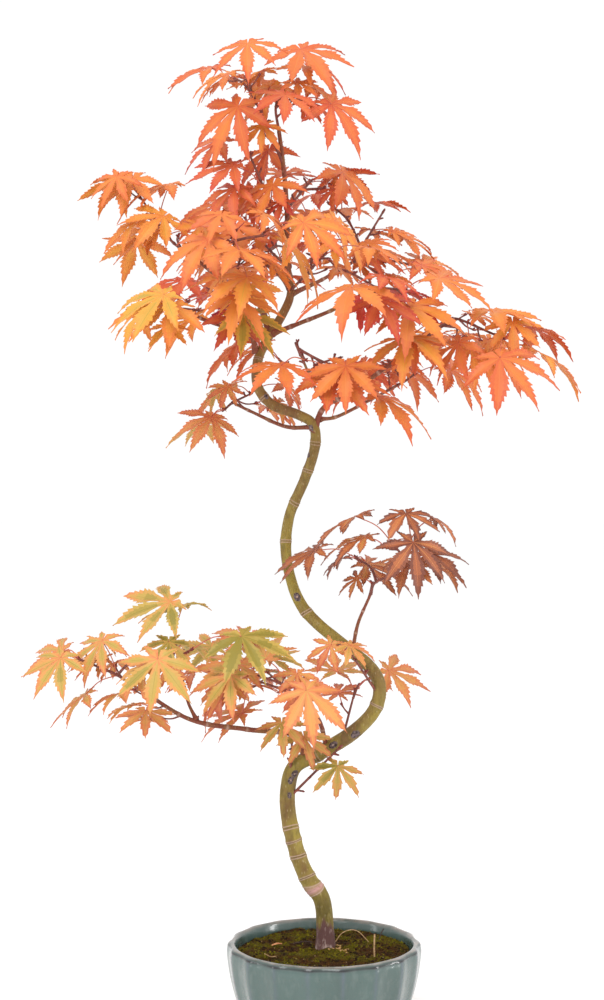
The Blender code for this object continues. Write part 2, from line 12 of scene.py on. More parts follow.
import bmesh
import bpy
import numpy as np
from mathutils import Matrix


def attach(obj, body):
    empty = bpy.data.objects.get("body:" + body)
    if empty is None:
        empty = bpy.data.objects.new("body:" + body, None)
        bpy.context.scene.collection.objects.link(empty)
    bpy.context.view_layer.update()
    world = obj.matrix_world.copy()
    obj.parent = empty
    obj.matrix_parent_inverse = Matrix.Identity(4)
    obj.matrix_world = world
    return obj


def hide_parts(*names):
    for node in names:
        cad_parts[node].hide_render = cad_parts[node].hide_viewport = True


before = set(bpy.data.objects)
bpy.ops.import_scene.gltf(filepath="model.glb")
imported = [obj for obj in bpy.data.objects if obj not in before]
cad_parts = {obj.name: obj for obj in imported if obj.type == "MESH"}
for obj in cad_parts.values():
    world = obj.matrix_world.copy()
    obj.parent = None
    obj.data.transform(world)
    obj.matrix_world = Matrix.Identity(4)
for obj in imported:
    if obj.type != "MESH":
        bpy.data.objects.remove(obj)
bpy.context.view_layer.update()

bl_info = {
    "name": "Japanese maple in a scalloped pot",
    "version": (1, 0, 0),
    "blender": (4, 5, 0),
    "location": "3D View > Sidebar > Maple",
    "description": "Builds the bark, twigs, leaves, moss and glazed pot of a young Japanese maple",
    "category": "Object",
}

MM = 0.001
UP = np.array((0.0, 0.0, 1.0))
LEVEL = np.array((1.0, 1.0, 0.0))  # times a vector, leaves its level part
FRONT = np.array((0.0, -1.0, 0.0))
GAP = 0.3  # between a bough's end and the stem it bears
PHASES = (0, 6.3)  # of a random wave, in radians

# Pot, as radius and height
POT_OUTSIDE = ((72.6, 72.0), (75.4, 70.0), (76.0, 63.0), (73.2, 44.0), (67.4, 24.0), (58.0, 5.0))
POT_INSIDE = ((69.4, 71.0), (67.6, 62.0), (64.4, 38.0), (57.6, 15.0), (48.0, 7.0))
POT_LIP = (
    (70.0, 71.8), (70.8, 72.2), (71.7, 72.4), (72.6, 72.3), (73.4, 72.1), (74.1, 71.8), (74.6, 71.4),
    (75.0, 70.9), (75.3, 70.4), (75.5, 69.9), (75.6, 69.3),
)
POT_FOOT = (
    (56.6, 2.4), (55.4, 1.2), (54.6, 0.4), (53.0, 0.0), (49.0, 0.0), (47.5, 1.0), (46.0, 1.6), (0, 1.6),
)
POT_FLOOR = 7.0
LIP_CREST = 72.5
FACET_COLUMNS = 16
CLAY_TOP = 3.0  # bare clay below it

# Soil
SOIL_TOP = 64.0
SOIL_REACH = (0.4, 67.2)
SOIL_GRID = (90, 220)  # rings and columns
SOIL_FLOOR = 52.0
STREWN_REACH = 65.5
TRUNK_X = 1.6
TRUNK_CLEAR = 8.5  # nothing is strewn nearer to the trunk's middle

# Trunk and boughs, as in the source.
TRUNK_LINE = (
    (1.2, 0, SOIL_TOP + GAP), (0.8, 0, 84), (-1.8, 0.5, 105), (-12, 2, 120), (-21.3, 4, 141.5),
    (-27.8, 6.5, 170), (-28, 7, 192), (-22.3, 5, 208.5), (-4, 0, 219), (22.5, -8, 236.5),
    (39.5, -12.5, 255.7), (42.5, -13, 274.5), (34, -10, 289), (19, -5, 301), (-9.5, 3, 324.5),
    (-22.7, 8.5, 344.7), (-29.8, 12, 375), (-26.9, 11, 405), (-15, 6, 433.5), (-7.2, 2, 458),
    (-8.5, -1, 475.7), (-20.5, -5, 483.5), (-39.5, -8, 490.5), (-51, -9, 503.7), (-52.5, -8, 521),
    (-46, -4, 539), (-31.5, 1, 564), (-26, 3, 581), (-29, 5, 608), (-29, 5, 645),
    (-32, 2, 680), (-35.2, 0, 705),
)
TRUNK_GIRTH = (
    (0, 6.9), (0.04, 6.6), (0.1, 6.3), (0.2, 5.9), (0.27, 5.7), (0.31, 5.2), (0.4, 4.7), (0.49, 4.2),
    (0.6, 4), (0.7, 3.8), (0.82, 3.3), (0.86, 2.1), (1, 1.6),
)
FLARE = 1.7
FLARE_REACH = 9.0
LIMB_STEP = 11.0
CAP_RUN = 2.0
BOUGHS = (
    ("bough_far_left", "trunk", 3.0, 1.6,
     ((-42, -1, 546), (-53, 6, 574), (-78, 18, 590), (-103, 28, 610))),
    ("bough_left_low", "trunk", 2.2, 1.4,
     ((-53, -6, 532), (-58, -14, 545), (-83, -34, 551), (-106, -54, 558))),
    ("bough_left_front", "trunk", 2.0, 1.3,
     ((-27, 2, 583), (-36, -14, 592), (-50, -38, 599))),
    ("bough_right_back", "trunk", 2.2, 1.3,
     ((-26, 3, 578), (-3, 20, 591), (12, 46, 603))),
    ("bough_right_front", "trunk", 2.2, 1.3,
     ((-40, -3, 547), (-19, -20, 553), (9, -42, 562), (32, -58, 573))),
    ("bough_back", "trunk", 2.0, 1.3,
     ((-28, 4, 600), (-32, 30, 606), (-40, 62, 618))),
    ("bough_fork", "trunk", 2.6, 1.7,
     ((-8, 0, 470), (0, -4, 489), (21, -10, 501), (50, -15, 521), (80, -16, 543))),
    ("bough_right_low", "bough_fork", 1.7, 1.2,
     ((-3, -2, 480), (11, 12, 483), (37, 34, 497), (60, 50, 510))),
    ("bough_centre", "bough_fork", 1.6, 1.1,
     ((2, -4, 491), (-7, -20, 503), (-18, -44, 526))),
    ("bough_centre_back", "bough_fork", 1.6, 1.1,
     ((4, -5, 492), (-2, 12, 500), (-10, 32, 511))),
    ("bough_left_mid", "trunk", 2.0, 1.3,
     ((-8, 0, 474), (-30, 14, 475), (-56, 34, 487), (-70, 44, 494))),
    ("bough_right_mid", "trunk", 1.8, 1.2,
     ((22, -6, 299), (26, -18, 322), (35, -32, 345))),
    ("bough_lower_left", "trunk", 2.8, 1.5,
     ((-14, 3, 215), (-24, -3, 234), (-60, -16, 240), (-102, -28, 249), (-140, -37, 273))),
    ("bough_lower_crest", "bough_lower_left", 1.6, 1.1,
     ((-98, -27, 249), (-104, -26, 261), (-107, -24, 272))),
    ("bough_lower_back", "trunk", 1.9, 1.3,
     ((2, -2, 225), (-6, 20, 246), (-26, 40, 262))),
    ("bough_lower_front", "trunk", 1.8, 1.2,
     ((2, -2, 224), (-4, -18, 248), (-18, -34, 263))),
)

# Masses of leaves: name, bearing limb, share of its length, leaf length, finish of the record, the
# ramp and the part of it that the mass takes its tints from (the darker ramp of the lowest masses holds
# partly painted shade), and each shoot's tip.
MASSES = (
    ("leaves_tip_right", "trunk", None, 43, "flame", ("bright", 4, 6.2),
     ((-25, 5, 750), (-20, -20, 725))),
    ("leaves_tip_left", "trunk", 0.97, 43, "gold", ("bright", 2.8, 5.2),
     ((-60, -25, 740), (-70, 15, 750))),
    ("leaves_top_left", "trunk", 0.9, 39, "red", ("bright", 4.4, 7),
     ((-60, -10, 690),)),
    ("leaves_top_back", "trunk", 0.93, 39, "flame", ("bright", 4, 6.2),
     ((-10, 45, 675), (15, 70, 670))),
    ("leaves_far_left", "bough_far_left", None, 42, "amber", ("bright", 2.6, 5),
     ((-150, 35, 665), (-130, 70, 635), (-115, 10, 625))),
    ("leaves_left_low", "bough_left_low", None, 42, "olive", ("bright", 0.4, 4),
     ((-120, -65, 560), (-100, -95, 560), (-95, -45, 560))),
    ("leaves_left_front", "bough_left_front", None, 46, "gold", ("bright", 2.2, 4.8),
     ((-70, -85, 605), (-45, -85, 610), (-65, -60, 590))),
    ("leaves_left_inner", "trunk", 0.8, 40, "red", ("bright", 5, 9),
     ((-75, -25, 560), (-90, -5, 580))),
    ("leaves_right_back", "bough_right_back", None, 42, "flame", ("bright", 3.2, 5.4),
     ((50, 70, 655), (5, 90, 665), (70, 60, 610))),
    ("leaves_crown_front", "trunk", 0.85, 45, "gold", ("bright", 2.4, 4.2),
     ((0, -60, 600), (-10, -30, 610))),
    ("leaves_right_front", "bough_right_front", None, 47, "red", ("bright", 3.6, 7.4),
     ((40, -70, 570), (15, -80, 585), (60, -50, 575))),
    ("leaves_back", "bough_back", None, 43, "flame", ("bright", 3.2, 5.6),
     ((-60, 90, 645), (-30, 135, 635), (-95, 115, 635))),
    ("leaves_right_far", "bough_fork", None, 46, "gold", ("bright", 2.8, 5.2),
     ((135, -35, 540), (90, -50, 550), (115, 20, 545))),
    ("leaves_right_low", "bough_right_low", None, 44, "flame", ("bright", 3.4, 5.6),
     ((75, 65, 520), (50, 75, 530))),
    ("leaves_centre", "bough_centre", None, 45, "flame", ("bright", 3.6, 5.6),
     ((-15, -75, 520), (10, -70, 515))),
    ("leaves_left_mid", "bough_left_mid", None, 40, "bronze", ("mellow", 0.6, 2.8),
     ((-80, 45, 490), (-60, 80, 505))),
    ("leaves_centre_back", "bough_centre_back", None, 44, "flame", ("bright", 3.4, 5.4),
     ((-35, 50, 530), (15, 75, 535))),
    ("leaves_right_mid", "bough_right_mid", None, 40, "bronze", ("dull", 2.6, 4.6),
     ((60, -40, 362), (50, -60, 385), (25, -10, 372))),
    ("leaves_sprig_mid", "trunk", 0.335, 26, "bronze", ("mellow", 1.4, 3.4),
     ((20, -30, 300),)),
    ("leaves_lower_left", "bough_lower_left", None, 42, "olive", ("mellow", 0.8, 2.4),
     ((-185, -45, 297), (-130, -65, 300))),
    ("leaves_lower_crest", "bough_lower_crest", None, 48, "olive", ("mellow", 0, 0.8),
     ((-115, -20, 310), (-100, -55, 305))),
    ("leaves_lower_back", "bough_lower_back", None, 42, "amber", ("mellow", 0.8, 3.2),
     ((-45, 65, 275), (-75, 85, 275))),
    ("leaves_lower_front", "bough_lower_front", None, 41, "gold", ("mellow", 0.6, 2.6),
     ((-55, -45, 282), (-30, -65, 275))),
    ("leaves_lower_right", "trunk", 0.27, 39, "amber", ("mellow", 1.2, 3.2),
     ((25, 25, 265),)),
    ("leaves_sprig_left", "trunk", 0.2, 29, "bronze", ("dull", 0.6, 2.6),
     ((-25, -15, 230),)),
    ("leaves_sprig_right", "trunk", 0.165, 29, "bronze", ("dull", 0.6, 2.6),
     ((12, -15, 226),)),
)
SEED = 1  # fixes the random draws of every leaf
SHOOT_STEP = 15.0
FIRST_PAIR = 22.0
PAIR_STEP = 26.0
STALK_SHARE = (0.4, 0.9)
STALK_FORWARD = (0.3, 1.6)
STALK_RISE = (0.05, 0.55)
STALK_STRAY = 0.2
LEAF_SPREAD = (0.82, 1.12)
OUTWARD = 0.35
BLADE_STRAY = 28
HANG = (5, 60)
TILT_STRAY = 12
LIGHT = np.array((0.0, -0.9, 0.45))
LIGHT_TURN = (0.1, 1.2)
DROOP = (0.12, 0.34)
TRIES = 14
LEAF_LOBES = ((-84, 0.76), (-41, 0.95), (0, 1.0), (41, 0.95), (84, 0.76))
LOBE_STRAY = 3.0
LOBE_SPREAD = (0.92, 1.06)
LOBE_WIDTH = 0.30
LOBE_WIDEST = 0.55
LOBE_HALF = math.degrees(math.atan2(0.5 * LOBE_WIDTH, LOBE_WIDEST))
BEAD_STEP = 4.5
LIMB_MARGIN = 1.0
STALK_BEAD = 1.4
BLADE_BEAD = 4.4
LOBE_BEADS = 6
OWN_SHARE = 0.55

# Finer twigs, which only the dressed tree has.
SPUR_LENGTH = (7.0, 20.0)
SPUR_LEAF = (0.55, 0.9)  # a spur's leaf length as a share of its mass's
SPUR_TRIES = 10
REACH_MARGIN = 3.0  # how far a spur's leaf may pass its mass's own box
SPUR_STEP = 15.0  # between spurs
SPUR_FORWARD = (0.2, 0.9)
SPUR_RISE = (0, 0.5)
BOUGH_SHARE = 0.86  # a bough's bark, which swells at its nodes, against the source's even limb
BOUGH_SIDES = 14
TRUNK_SUNK = 6.0  # how far the bark carries on below the soil
WOOD_TOP = 25  # of the old wood at the foot, as a way along the trunk
WOOD_FADE = 5
YOUTH = (0.62, 0.3)  # where the bark starts to look young and over how much, as shares of the trunk
WORN = ((440, 38), (285, 26))  # heights and half widths of the browner bands
SHADED = (96, 16)  # height and half width of the darkest green

# Girths as shares of a shoot's or a stalk's radius: at foot, at end, swelling at nodes and at the foot.
SHOOT_GIRTHS = (1, 0.72, 0.38, 0.35)
SPUR_GIRTHS = (0.66, 0.5, 0.25, 0.4)
STALK_GIRTHS = (1, 0.9, 0, 0.8)
STALK_TIP = 0.55  # swelling where a stalk meets its blade
AXIL_BUD = (0.6, 1.0)
END_BUD = (0.7, 1.1)

# Leaves
BASAL_LOBE = (131, 0.4)  # angle and share of the small lobe behind each side
LEAF_BACK = 172  # angle of a leaf's edges behind its stalk
SMALL_LEAF = 32  # a shorter leaf has fewer teeth
SMALL_LOBE = 0.6
LEAF_TONES = {"margin": (0.3, 1.5), "tip": (0.2, 1.6), "heart": (0, 1.6), "vein": (0.4, 1.3)}
LOBE_TIP = (-0.3, 0.5)  # how far a lobe's tip strays from its leaf's tone
LOBE_TONE = 0.3
LOBE_CURL = (-0.1, 0.4)
LOBE_TWIST = 0.4
CREASE_ANGLE = 50

# Bud rings round the trunk, by height, strength and half width.
RINGS = (
    (113.8, 1.0, 2.9), (122.4, 0.8, 0.7), (138, 0.9, 1.0), (149.8, 0.8, 0.6), (160, 1.0, 1.3),
    (218.5, 0.6, 1.2), (258.4, 0.7, 0.6), (328.7, 0.9, 1.0), (385, 0.9, 0.9), (415.4, 0.7, 1.2),
    (440.4, 0.6, 1.0), (462, 0.5, 1.2), (497, 0.6, 0.8), (526, 0.5, 0.7), (553, 0.5, 0.8),
    (592, 0.5, 0.6), (628, 0.4, 0.6), (662, 0.4, 0.5),
)

# Old leaf scars, by side, height and size.
SCARS = (
    (-53, 520, 2.6), (-45, 497, 2.2), (-21, 341, 3.6), (15, 303, 5.0), (19, 300, 3.4), (24, 236, 4.0),
    (7, 227, 3.6), (-23, 203, 3.4), (-26, 198, 3.0), (-27, 186, 2.4), (-12, 452, 2.2), (-10, 473, 3.0),
)

# Litter on the soil: name, finish, widths from end to end, thickness, and places with their rise.
LITTER = (
    ("litter_scrap", "scrap", (1.2, 4.2, 3.6, 1.4), 0.8, ((-41, 3, 1.6), (-37, 4, 2.6), (-33, 6, 3.2))),
    ("litter_stick", "straw", (1.5, 1.3, 1.0), 1.2, ((38.5, -22, -1), (38.2, -22, 8), (38.6, -22, 17))),
    ("litter_arch", "straw", (1.0, 0.8, 0.5, 0.3), 0.6,
     ((9, 1, 3), (14, 3, 9), (21, 6, 12), (27, 6, 11), (32, 5, 8), (35, 3, 5))),
    ("litter_twig_left", "dark", (1.2, 0.9, 0.6), 1.0, ((-24, 14, 1.2), (-16, 16, 1.6), (-9, 15, 1.2))),
    ("litter_twig_right", "dark", (1.0, 0.8, 0.5), 0.8, ((44, 22, 0), (46, 25, 5), (48, 26, 8))),
    ("litter_straw_front", "straw", (0.9, 0.7, 0.5), 0.6,
     ((-46, -18, 0.8), (-41, -22, 1.4), (-37, -21, 0.8))),
)

# What is strewn on the soil: name, shape, where it lies, the setting of its density and the share of it,
# spacing, least and greatest size, seed, finish and colour.
STREWN = (
    ("moss_tufts", "tuft", "mossy", "tufts", 1, 0.0009, 0.6, 1.4, 3, "moss_green", (118, 110, 22)),
    ("moss_tufts_bright", "tuft", "mossy", "tufts", 0.3, 0.0015, 0.6, 1.6, 8, "moss_bright", (150, 140, 36)),
    ("moss_tufts_dry", "tuft", "bare", "tufts", 0.35, 0.0014, 0.5, 1.3, 7, "moss_dry", (120, 86, 34)),
    ("soil_crumbs", "crumb", "bare", "crumbs", 1, 0.0010, 0.5, 1.7, 5, "crumb_brown", (66, 42, 22)),
    ("soil_crumbs_dark", "crumb", "bare", "crumbs", 0.5, 0.0016, 0.6, 2.0, 6, "crumb_dark", (42, 26, 16)),
    ("soil_grit", "crumb", "bare", "crumbs", 0.06, 0.003, 0.3, 0.9, 11, "crumb_pale", (176, 150, 110)),
    ("root_crumbs", "crumb", "crumbly", "chips", 1, 0.0012, 0.8, 1.9, 4, "crumb_straw", (190, 150, 100)),
)
STREWN_TURN = (0.9, 0.9, 6.28)  # most that a strewn shape is turned about each axis
TUFT_BLADES = 7
TUFT_FACES = ((0, 2, 3), (2, 1, 3), (1, 0, 3), (0, 1, 2))

# Autumn tints as seen on the leaf, each ramp from its greenest to its reddest.
BRIGHT = (
    ("leaf_olive", (172, 152, 58)), ("leaf_lemon", (206, 166, 64)), ("leaf_gold", (240, 168, 64)),
    ("leaf_honey", (242, 152, 62)), ("leaf_amber", (238, 138, 62)), ("leaf_orange", (232, 124, 62)),
    ("leaf_ember", (224, 106, 60)), ("leaf_flame", (214, 88, 56)), ("leaf_scarlet", (210, 66, 54)),
    ("leaf_crimson", (184, 42, 50)), ("leaf_wine", (146, 36, 48)),
)
# Given to the lowest masses: partly their own less vivid autumn colour, partly painted shade under the crown.
DULL_AND_SHADED = (
    ("leaf_moss", (150, 138, 56)), ("leaf_khaki", (196, 164, 80)), ("leaf_tan", (216, 156, 84)),
    ("leaf_copper", (206, 122, 72)), ("leaf_bronze", (172, 98, 64)), ("leaf_umber", (130, 72, 54)),
)
MELLOW = (
    ("leaf_fern", (158, 142, 58)), ("leaf_straw", (206, 172, 84)), ("leaf_apricot", (232, 162, 90)),
    ("leaf_salmon", (230, 136, 84)), ("leaf_rust", (208, 108, 76)),
)

# Colours that no setting holds, as they look on screen.
SHADES = {
    "glaze_bloom": (126, 138, 132), "glaze_speck": (60, 66, 62), "clay": (150, 128, 104),
    "clay_stain": (124, 104, 84), "soil_damp": (58, 52, 14), "soil_pit_shade": (34, 22, 12),
    "soil_grain": (136, 112, 60), "straw": (214, 176, 130), "straw_stain": (176, 136, 92),
    "scrap": (204, 116, 62), "scrap_pale": (226, 160, 104), "dead_twig": (66, 44, 38),
    "bark_deep": (98, 86, 30), "bark_olive": (96, 84, 34), "bark_pale": (176, 156, 84),
    "bark_speck": (196, 178, 136), "wood_pale": (176, 150, 142), "cork": (206, 158, 150),
    "crease_shade": (104, 74, 62), "scar_rim": (124, 106, 106), "shoot_shade": (116, 60, 50),
    "shoot_speck": (170, 130, 104), "stalk_sun": (214, 118, 84), "bud": (132, 52, 44),
}

# Lights: name, place, width and share of the key light's power.
LIGHTS = (
    ("key_light", (-0.5, -1.6, 1.9), 1.2, 1.0),
    ("left_light", (-1.5, -0.45, 0.5), 0.16, 0.07),
    ("right_light", (1.5, -0.45, 0.5), 0.16, 0.25),
)
LIT = (0, 0, 0.4)  # what the lights face


# Sizes and colours that a user would change

PAINT = 0.76  # a base colour, as a share of how bright it looks in the studio


def linear(colour):
    """The base colour, in linear RGBA, that looks like three 0 to 255 screen values in the studio."""
    shares = [value / 255 for value in colour]
    curved = [s / 12.92 if s <= 0.04045 else ((s + 0.055) / 1.055) ** 2.4 for s in shares]
    return tuple(PAINT * c for c in curved) + (1.0,)


def shade(name):
    return linear(SHADES[name])


def length_field(name, description, default, low=0.0):
    return bpy.props.FloatProperty(
        name=name, description=description, default=default, min=low, subtype="DISTANCE", unit="LENGTH"
    )


def colour_field(name, description, value):
    return bpy.props.FloatVectorProperty(
        name=name, description=description, default=linear(value), size=4, min=0, max=1, subtype="COLOR"
    )


def share_field(name, description, default, high=1.0):
    return bpy.props.FloatProperty(name=name, description=description, default=default, min=0, max=high)


def count_field(name, description, default, low=1):
    return bpy.props.IntProperty(name=name, description=description, default=default, min=low)


class PotSettings(bpy.types.PropertyGroup):
    facets: count_field("Facets", "Hollow facets round the pot", 18, 3)
    hollow: length_field("Hollow", "How far a facet's middle lies inside its corners", 0.0017)
    glaze: colour_field("Glaze", "Colour of the thick glaze", (82, 106, 101))
    pooled: colour_field("Pooled glaze", "Colour where the glaze has pooled", (74, 96, 91))
    thin: colour_field("Thin glaze", "Colour where the glaze breaks over the lip", (172, 158, 150))
    line: colour_field("Burnt edge", "Colour of the thin line where the glaze runs off the lip", (24, 14, 18))
    corner: colour_field("Corner", "Colour of the glaze along the facets' corners", (92, 104, 116))
    roughness: share_field("Roughness", "Roughness of the glaze", 0.22)


class SoilSettings(bpy.types.PropertyGroup):
    rise: length_field("Rise", "How far the soil mounds up at the trunk", 0.0025)
    earth: colour_field("Earth", "Colour of the bare soil", (74, 46, 20))
    moss: colour_field("Moss", "Colour of the moss film", (96, 84, 20))
    tufts: count_field("Tufts", "Moss tufts a square metre", 190000)
    crumbs: count_field("Crumbs", "Soil crumbs a square metre", 110000)
    chips: count_field("Chips", "Pale chips a square metre, where they lie thickest by the trunk", 900000)


class BarkSettings(bpy.types.PropertyGroup):
    sides: count_field("Sides", "Sides round the trunk", 44, 8)
    step: length_field("Step", "Spacing of the trunk's cross sections", 0.0012, 0.0005)
    relief: length_field("Relief", "Height of the bark's ripples", 0.00022)
    green: colour_field("Green bark", "Colour of the sunlit bark", (162, 142, 62))
    brown: colour_field("Brown bark", "Colour of the weathered bark", (128, 98, 56))
    ring: colour_field("Bud ring", "Colour of the bud rings", (202, 170, 152))
    scar: colour_field("Scar", "Colour of the leaf scars", (70, 54, 52))
    wood: colour_field("Old wood", "Colour of the old wood at the foot", (104, 70, 66))
    young: colour_field("Young bark", "Colour of the young boughs", (142, 76, 56))


class TwigSettings(bpy.types.PropertyGroup):
    shoot: length_field("Shoot", "Radius of a shoot at its foot", 0.00115)
    stalk: length_field("Stalk", "Radius of a leaf stalk", 0.00048)
    bud: length_field("Bud", "Length of a bud", 0.0032)
    shoot_colour: colour_field("Shoot colour", "Colour of the shoots", (152, 76, 60))
    stalk_colour: colour_field("Stalk colour", "Colour of the leaf stalks", (196, 84, 72))


class LeafSettings(bpy.types.PropertyGroup):
    teeth: count_field("Teeth", "Teeth along each side of a long lobe", 6, 2)
    tooth: share_field("Tooth depth", "How far a tooth stands out, as a share of the lobe's half width", 0.3)
    fold: share_field("Fold", "How steeply a lobe's sides rise from its vein", 0.26)
    thickness: length_field("Thickness", "Thickness of a blade", 0.00032, 0.0001)
    roughness: share_field("Roughness", "Roughness of the leaves", 0.5)


class StageSettings(bpy.types.PropertyGroup):
    lens: bpy.props.FloatProperty(
        name="Lens", description="Focal length", default=58.97, min=1, subtype="DISTANCE_CAMERA"
    )
    place: bpy.props.FloatVectorProperty(
        name="Camera", description="Place of the camera", default=(-0.0172, -1.28, 0.417),
        subtype="TRANSLATION",
    )
    sky: share_field("Sky", "Strength of the white surround", 1.03, 10)
    key: share_field("Key light", "Strength of the soft main light, in watts", 30.0, 1000)
    floor: share_field("Floor", "Whiteness of the floor", 0.98)


SETTINGS = {
    "maple_pot": PotSettings, "maple_soil": SoilSettings, "maple_bark": BarkSettings,
    "maple_twigs": TwigSettings, "maple_leaves": LeafSettings, "maple_stage": StageSettings,
}


# Lines, as in the source


def unit(vector):
    vector = np.asarray(vector, float)
    return vector / np.linalg.norm(vector)


def smooth_line(points, step):
    """A Catmull-Rom curve through the points, with one point about every step."""
    points = np.asarray(points, float)
    ends = np.vstack([2 * points[0] - points[1], points, 2 * points[-1] - points[-2]])
    line = [points[0]]
    for before, start, end, after in zip(ends, ends[1:], ends[2:], ends[3:]):
        count = max(1, round(np.linalg.norm(end - start) / step))
        for i in range(1, count + 1):
            t = i / count
            bend = 2 * before - 5 * start + 4 * end - after
            twist = 3 * start - before - 3 * end + after
            line.append(0.5 * (2 * start + (end - before) * t + bend * t**2 + twist * t**3))
    return np.array(line)


def tangents(line):
    return np.array([unit(step) for step in np.gradient(line, axis=0)])


def way_along(line):
    """How far along the line each of its points lies."""
    return np.concatenate([[0], np.cumsum(np.linalg.norm(np.diff(line, axis=0), axis=1))])


def square_end(line, end):
    return np.vstack([line[:-1], line[-1] - CAP_RUN * end, line[-1:]])


def trunk_radii(run):
    """The trunk's taper and root flare at ways along its whole line."""
    shares, radii = zip(*TRUNK_GIRTH)
    flare = FLARE * np.exp(-np.clip(run, 0, None) / FLARE_REACH)
    return np.interp(run / run[-1], shares, radii) + flare


def limb_lines():
    """The middle line and radii of the whole trunk and of every bough, by name."""
    trunk = smooth_line(TRUNK_LINE, LIMB_STEP)
    limbs = {"trunk": (trunk, trunk_radii(way_along(trunk)))}
    for name, _, foot, end, points in BOUGHS:
        line = smooth_line(points, LIMB_STEP)
        line = square_end(line, unit(line[-1] - line[-2]))
        run = way_along(line)
        limbs[name] = (line, foot + (end - foot) * run / run[-1])
    return limbs


# Growth, as in the source


class Space:
    """Every limb, stalk and blade grown so far, as beads: x, y, z, radius and owner."""

    def __init__(self):
        self.beads = np.empty((0, 5))

    def add(self, beads, owner):
        self.beads = np.vstack([self.beads, np.column_stack([beads, np.full(len(beads), owner)])])

    def is_free(self, beads, owner):
        """Whether the beads keep clear of all that others own, and half as clear of their own mass."""
        low = beads[:, :3].min(axis=0) - 2 * BLADE_BEAD - LIMB_MARGIN
        high = beads[:, :3].max(axis=0) + 2 * BLADE_BEAD + LIMB_MARGIN
        others = self.beads[((self.beads[:, :3] > low) & (self.beads[:, :3] < high)).all(axis=1)]
        apart = np.linalg.norm(beads[:, None, :3] - others[None, :, :3], axis=2)
        near = beads[:, None, 3] + others[None, :, 3]
        near = np.where(others[None, :, 4] == owner, OWN_SHARE * near, near)
        return bool((apart > near).all())


def line_beads(line, radii):
    """Beads along a line."""
    run = way_along(line)
    places = np.linspace(0, run[-1], max(2, math.ceil(run[-1] / BEAD_STEP)))
    columns = [np.interp(places, run, line[:, axis]) for axis in range(3)]
    return np.column_stack(columns + [np.interp(places, run, np.broadcast_to(radii, len(line)))])


class Leaf:
    """A leaf's stalk line, and its blade's frame, length, droop and lobes."""

    def __init__(self, stalk, along, face, length, droop, lobes):
        self.stalk = stalk
        self.along = along
        self.face = face
        self.across = np.cross(along, face)
        self.length = length
        self.droop = droop
        self.lobes = lobes

    def place(self, angle, reach):
        return self.lay(reach * math.sin(angle), reach * math.cos(angle), 0.0)

    def lay(self, across, along, lift):
        """Points of the drooping blade, from places and lifts in leaf lengths."""
        across, along, lift = np.broadcast_arrays(across, along, lift)
        flat = across[..., None] * self.across + along[..., None] * self.along
        sink = lift - self.droop * (across**2 + along**2)
        return self.stalk[-1] + self.length * (flat + sink[..., None] * self.face)

    def beads(self):
        """Beads along the long lobes and their edges, and the stalk except where it leaves its shoot."""
        lobes = [
            self.place(math.radians(angle), size * step / LOBE_BEADS)
            for angle, size in self.lobes
            for step in range(1, LOBE_BEADS + 1)
        ]
        edges = [
            self.place(math.radians(angle + side), LOBE_WIDEST * size)
            for angle, size in self.lobes
            for side in (-LOBE_HALF, LOBE_HALF)
        ]
        blade = np.column_stack([np.array(lobes), np.full(len(lobes), BLADE_BEAD)])
        rim = np.column_stack([np.array(edges), np.full(len(edges), STALK_BEAD)])
        return np.vstack([blade, rim, line_beads(self.stalk, STALK_BEAD)[2:]])


def turned_about(vector, axis, angle):
    """A vector square to the axis, turned about it."""
    return vector * math.cos(angle) + np.cross(axis, vector) * math.sin(angle)


def grow_leaf(rng, node, heading, side, length):
    """A leaf whose stalk leaves a node to one side of its shoot, with its blade hanging outwards."""
    stray = np.array([rng.gauss(0, STALK_STRAY) for _ in range(3)])
    out = unit(rng.uniform(*STALK_FORWARD) * heading + side + rng.uniform(*STALK_RISE) * UP + stray)
    size = length * rng.uniform(*LEAF_SPREAD)
    run = size * rng.uniform(*STALK_SHARE)
    stalk = np.array([node, node + 0.5 * run * out, node + run * unit(out - 0.25 * UP)])
    level = unit(LEVEL * out + OUTWARD * unit(LEVEL * (stalk[-1] - TRUNK_LINE[-1])))
    level = turned_about(level, UP, math.radians(rng.gauss(0, BLADE_STRAY)))
    hang = math.radians(rng.uniform(*HANG))
    along = level * math.cos(hang) - UP * math.sin(hang)
    face = level * math.sin(hang) + UP * math.cos(hang)
    face = turned_about(face, along, math.radians(rng.gauss(0, TILT_STRAY)))
    face = unit(face + rng.uniform(*LIGHT_TURN) * LIGHT)
    along = unit(along - (along @ face) * face)
    lobes = []
    for angle, share in LEAF_LOBES:
        stray = max(-LOBE_STRAY, min(LOBE_STRAY, rng.gauss(0, LOBE_STRAY)))
        lobes.append((angle + stray, share * rng.uniform(*LOBE_SPREAD)))
    return Leaf(stalk, along, face, size, rng.uniform(*DROOP), lobes)


def forked_shoot(stem, tip):
    """A shoot that leaves the stem at a slant and ends at the tip."""
    apart = np.linalg.norm(stem - tip, axis=1)
    nearest = int(apart.argmin())
    run = way_along(stem)
    start = int(np.searchsorted(run, run[nearest] - 0.6 * apart[nearest]))
    start = max(1, min(start, nearest))
    middle = 0.5 * (stem[start] + tip) + 0.1 * apart[start] * tangents(stem)[start]
    return smooth_line([stem[start], middle, tip], SHOOT_STEP)


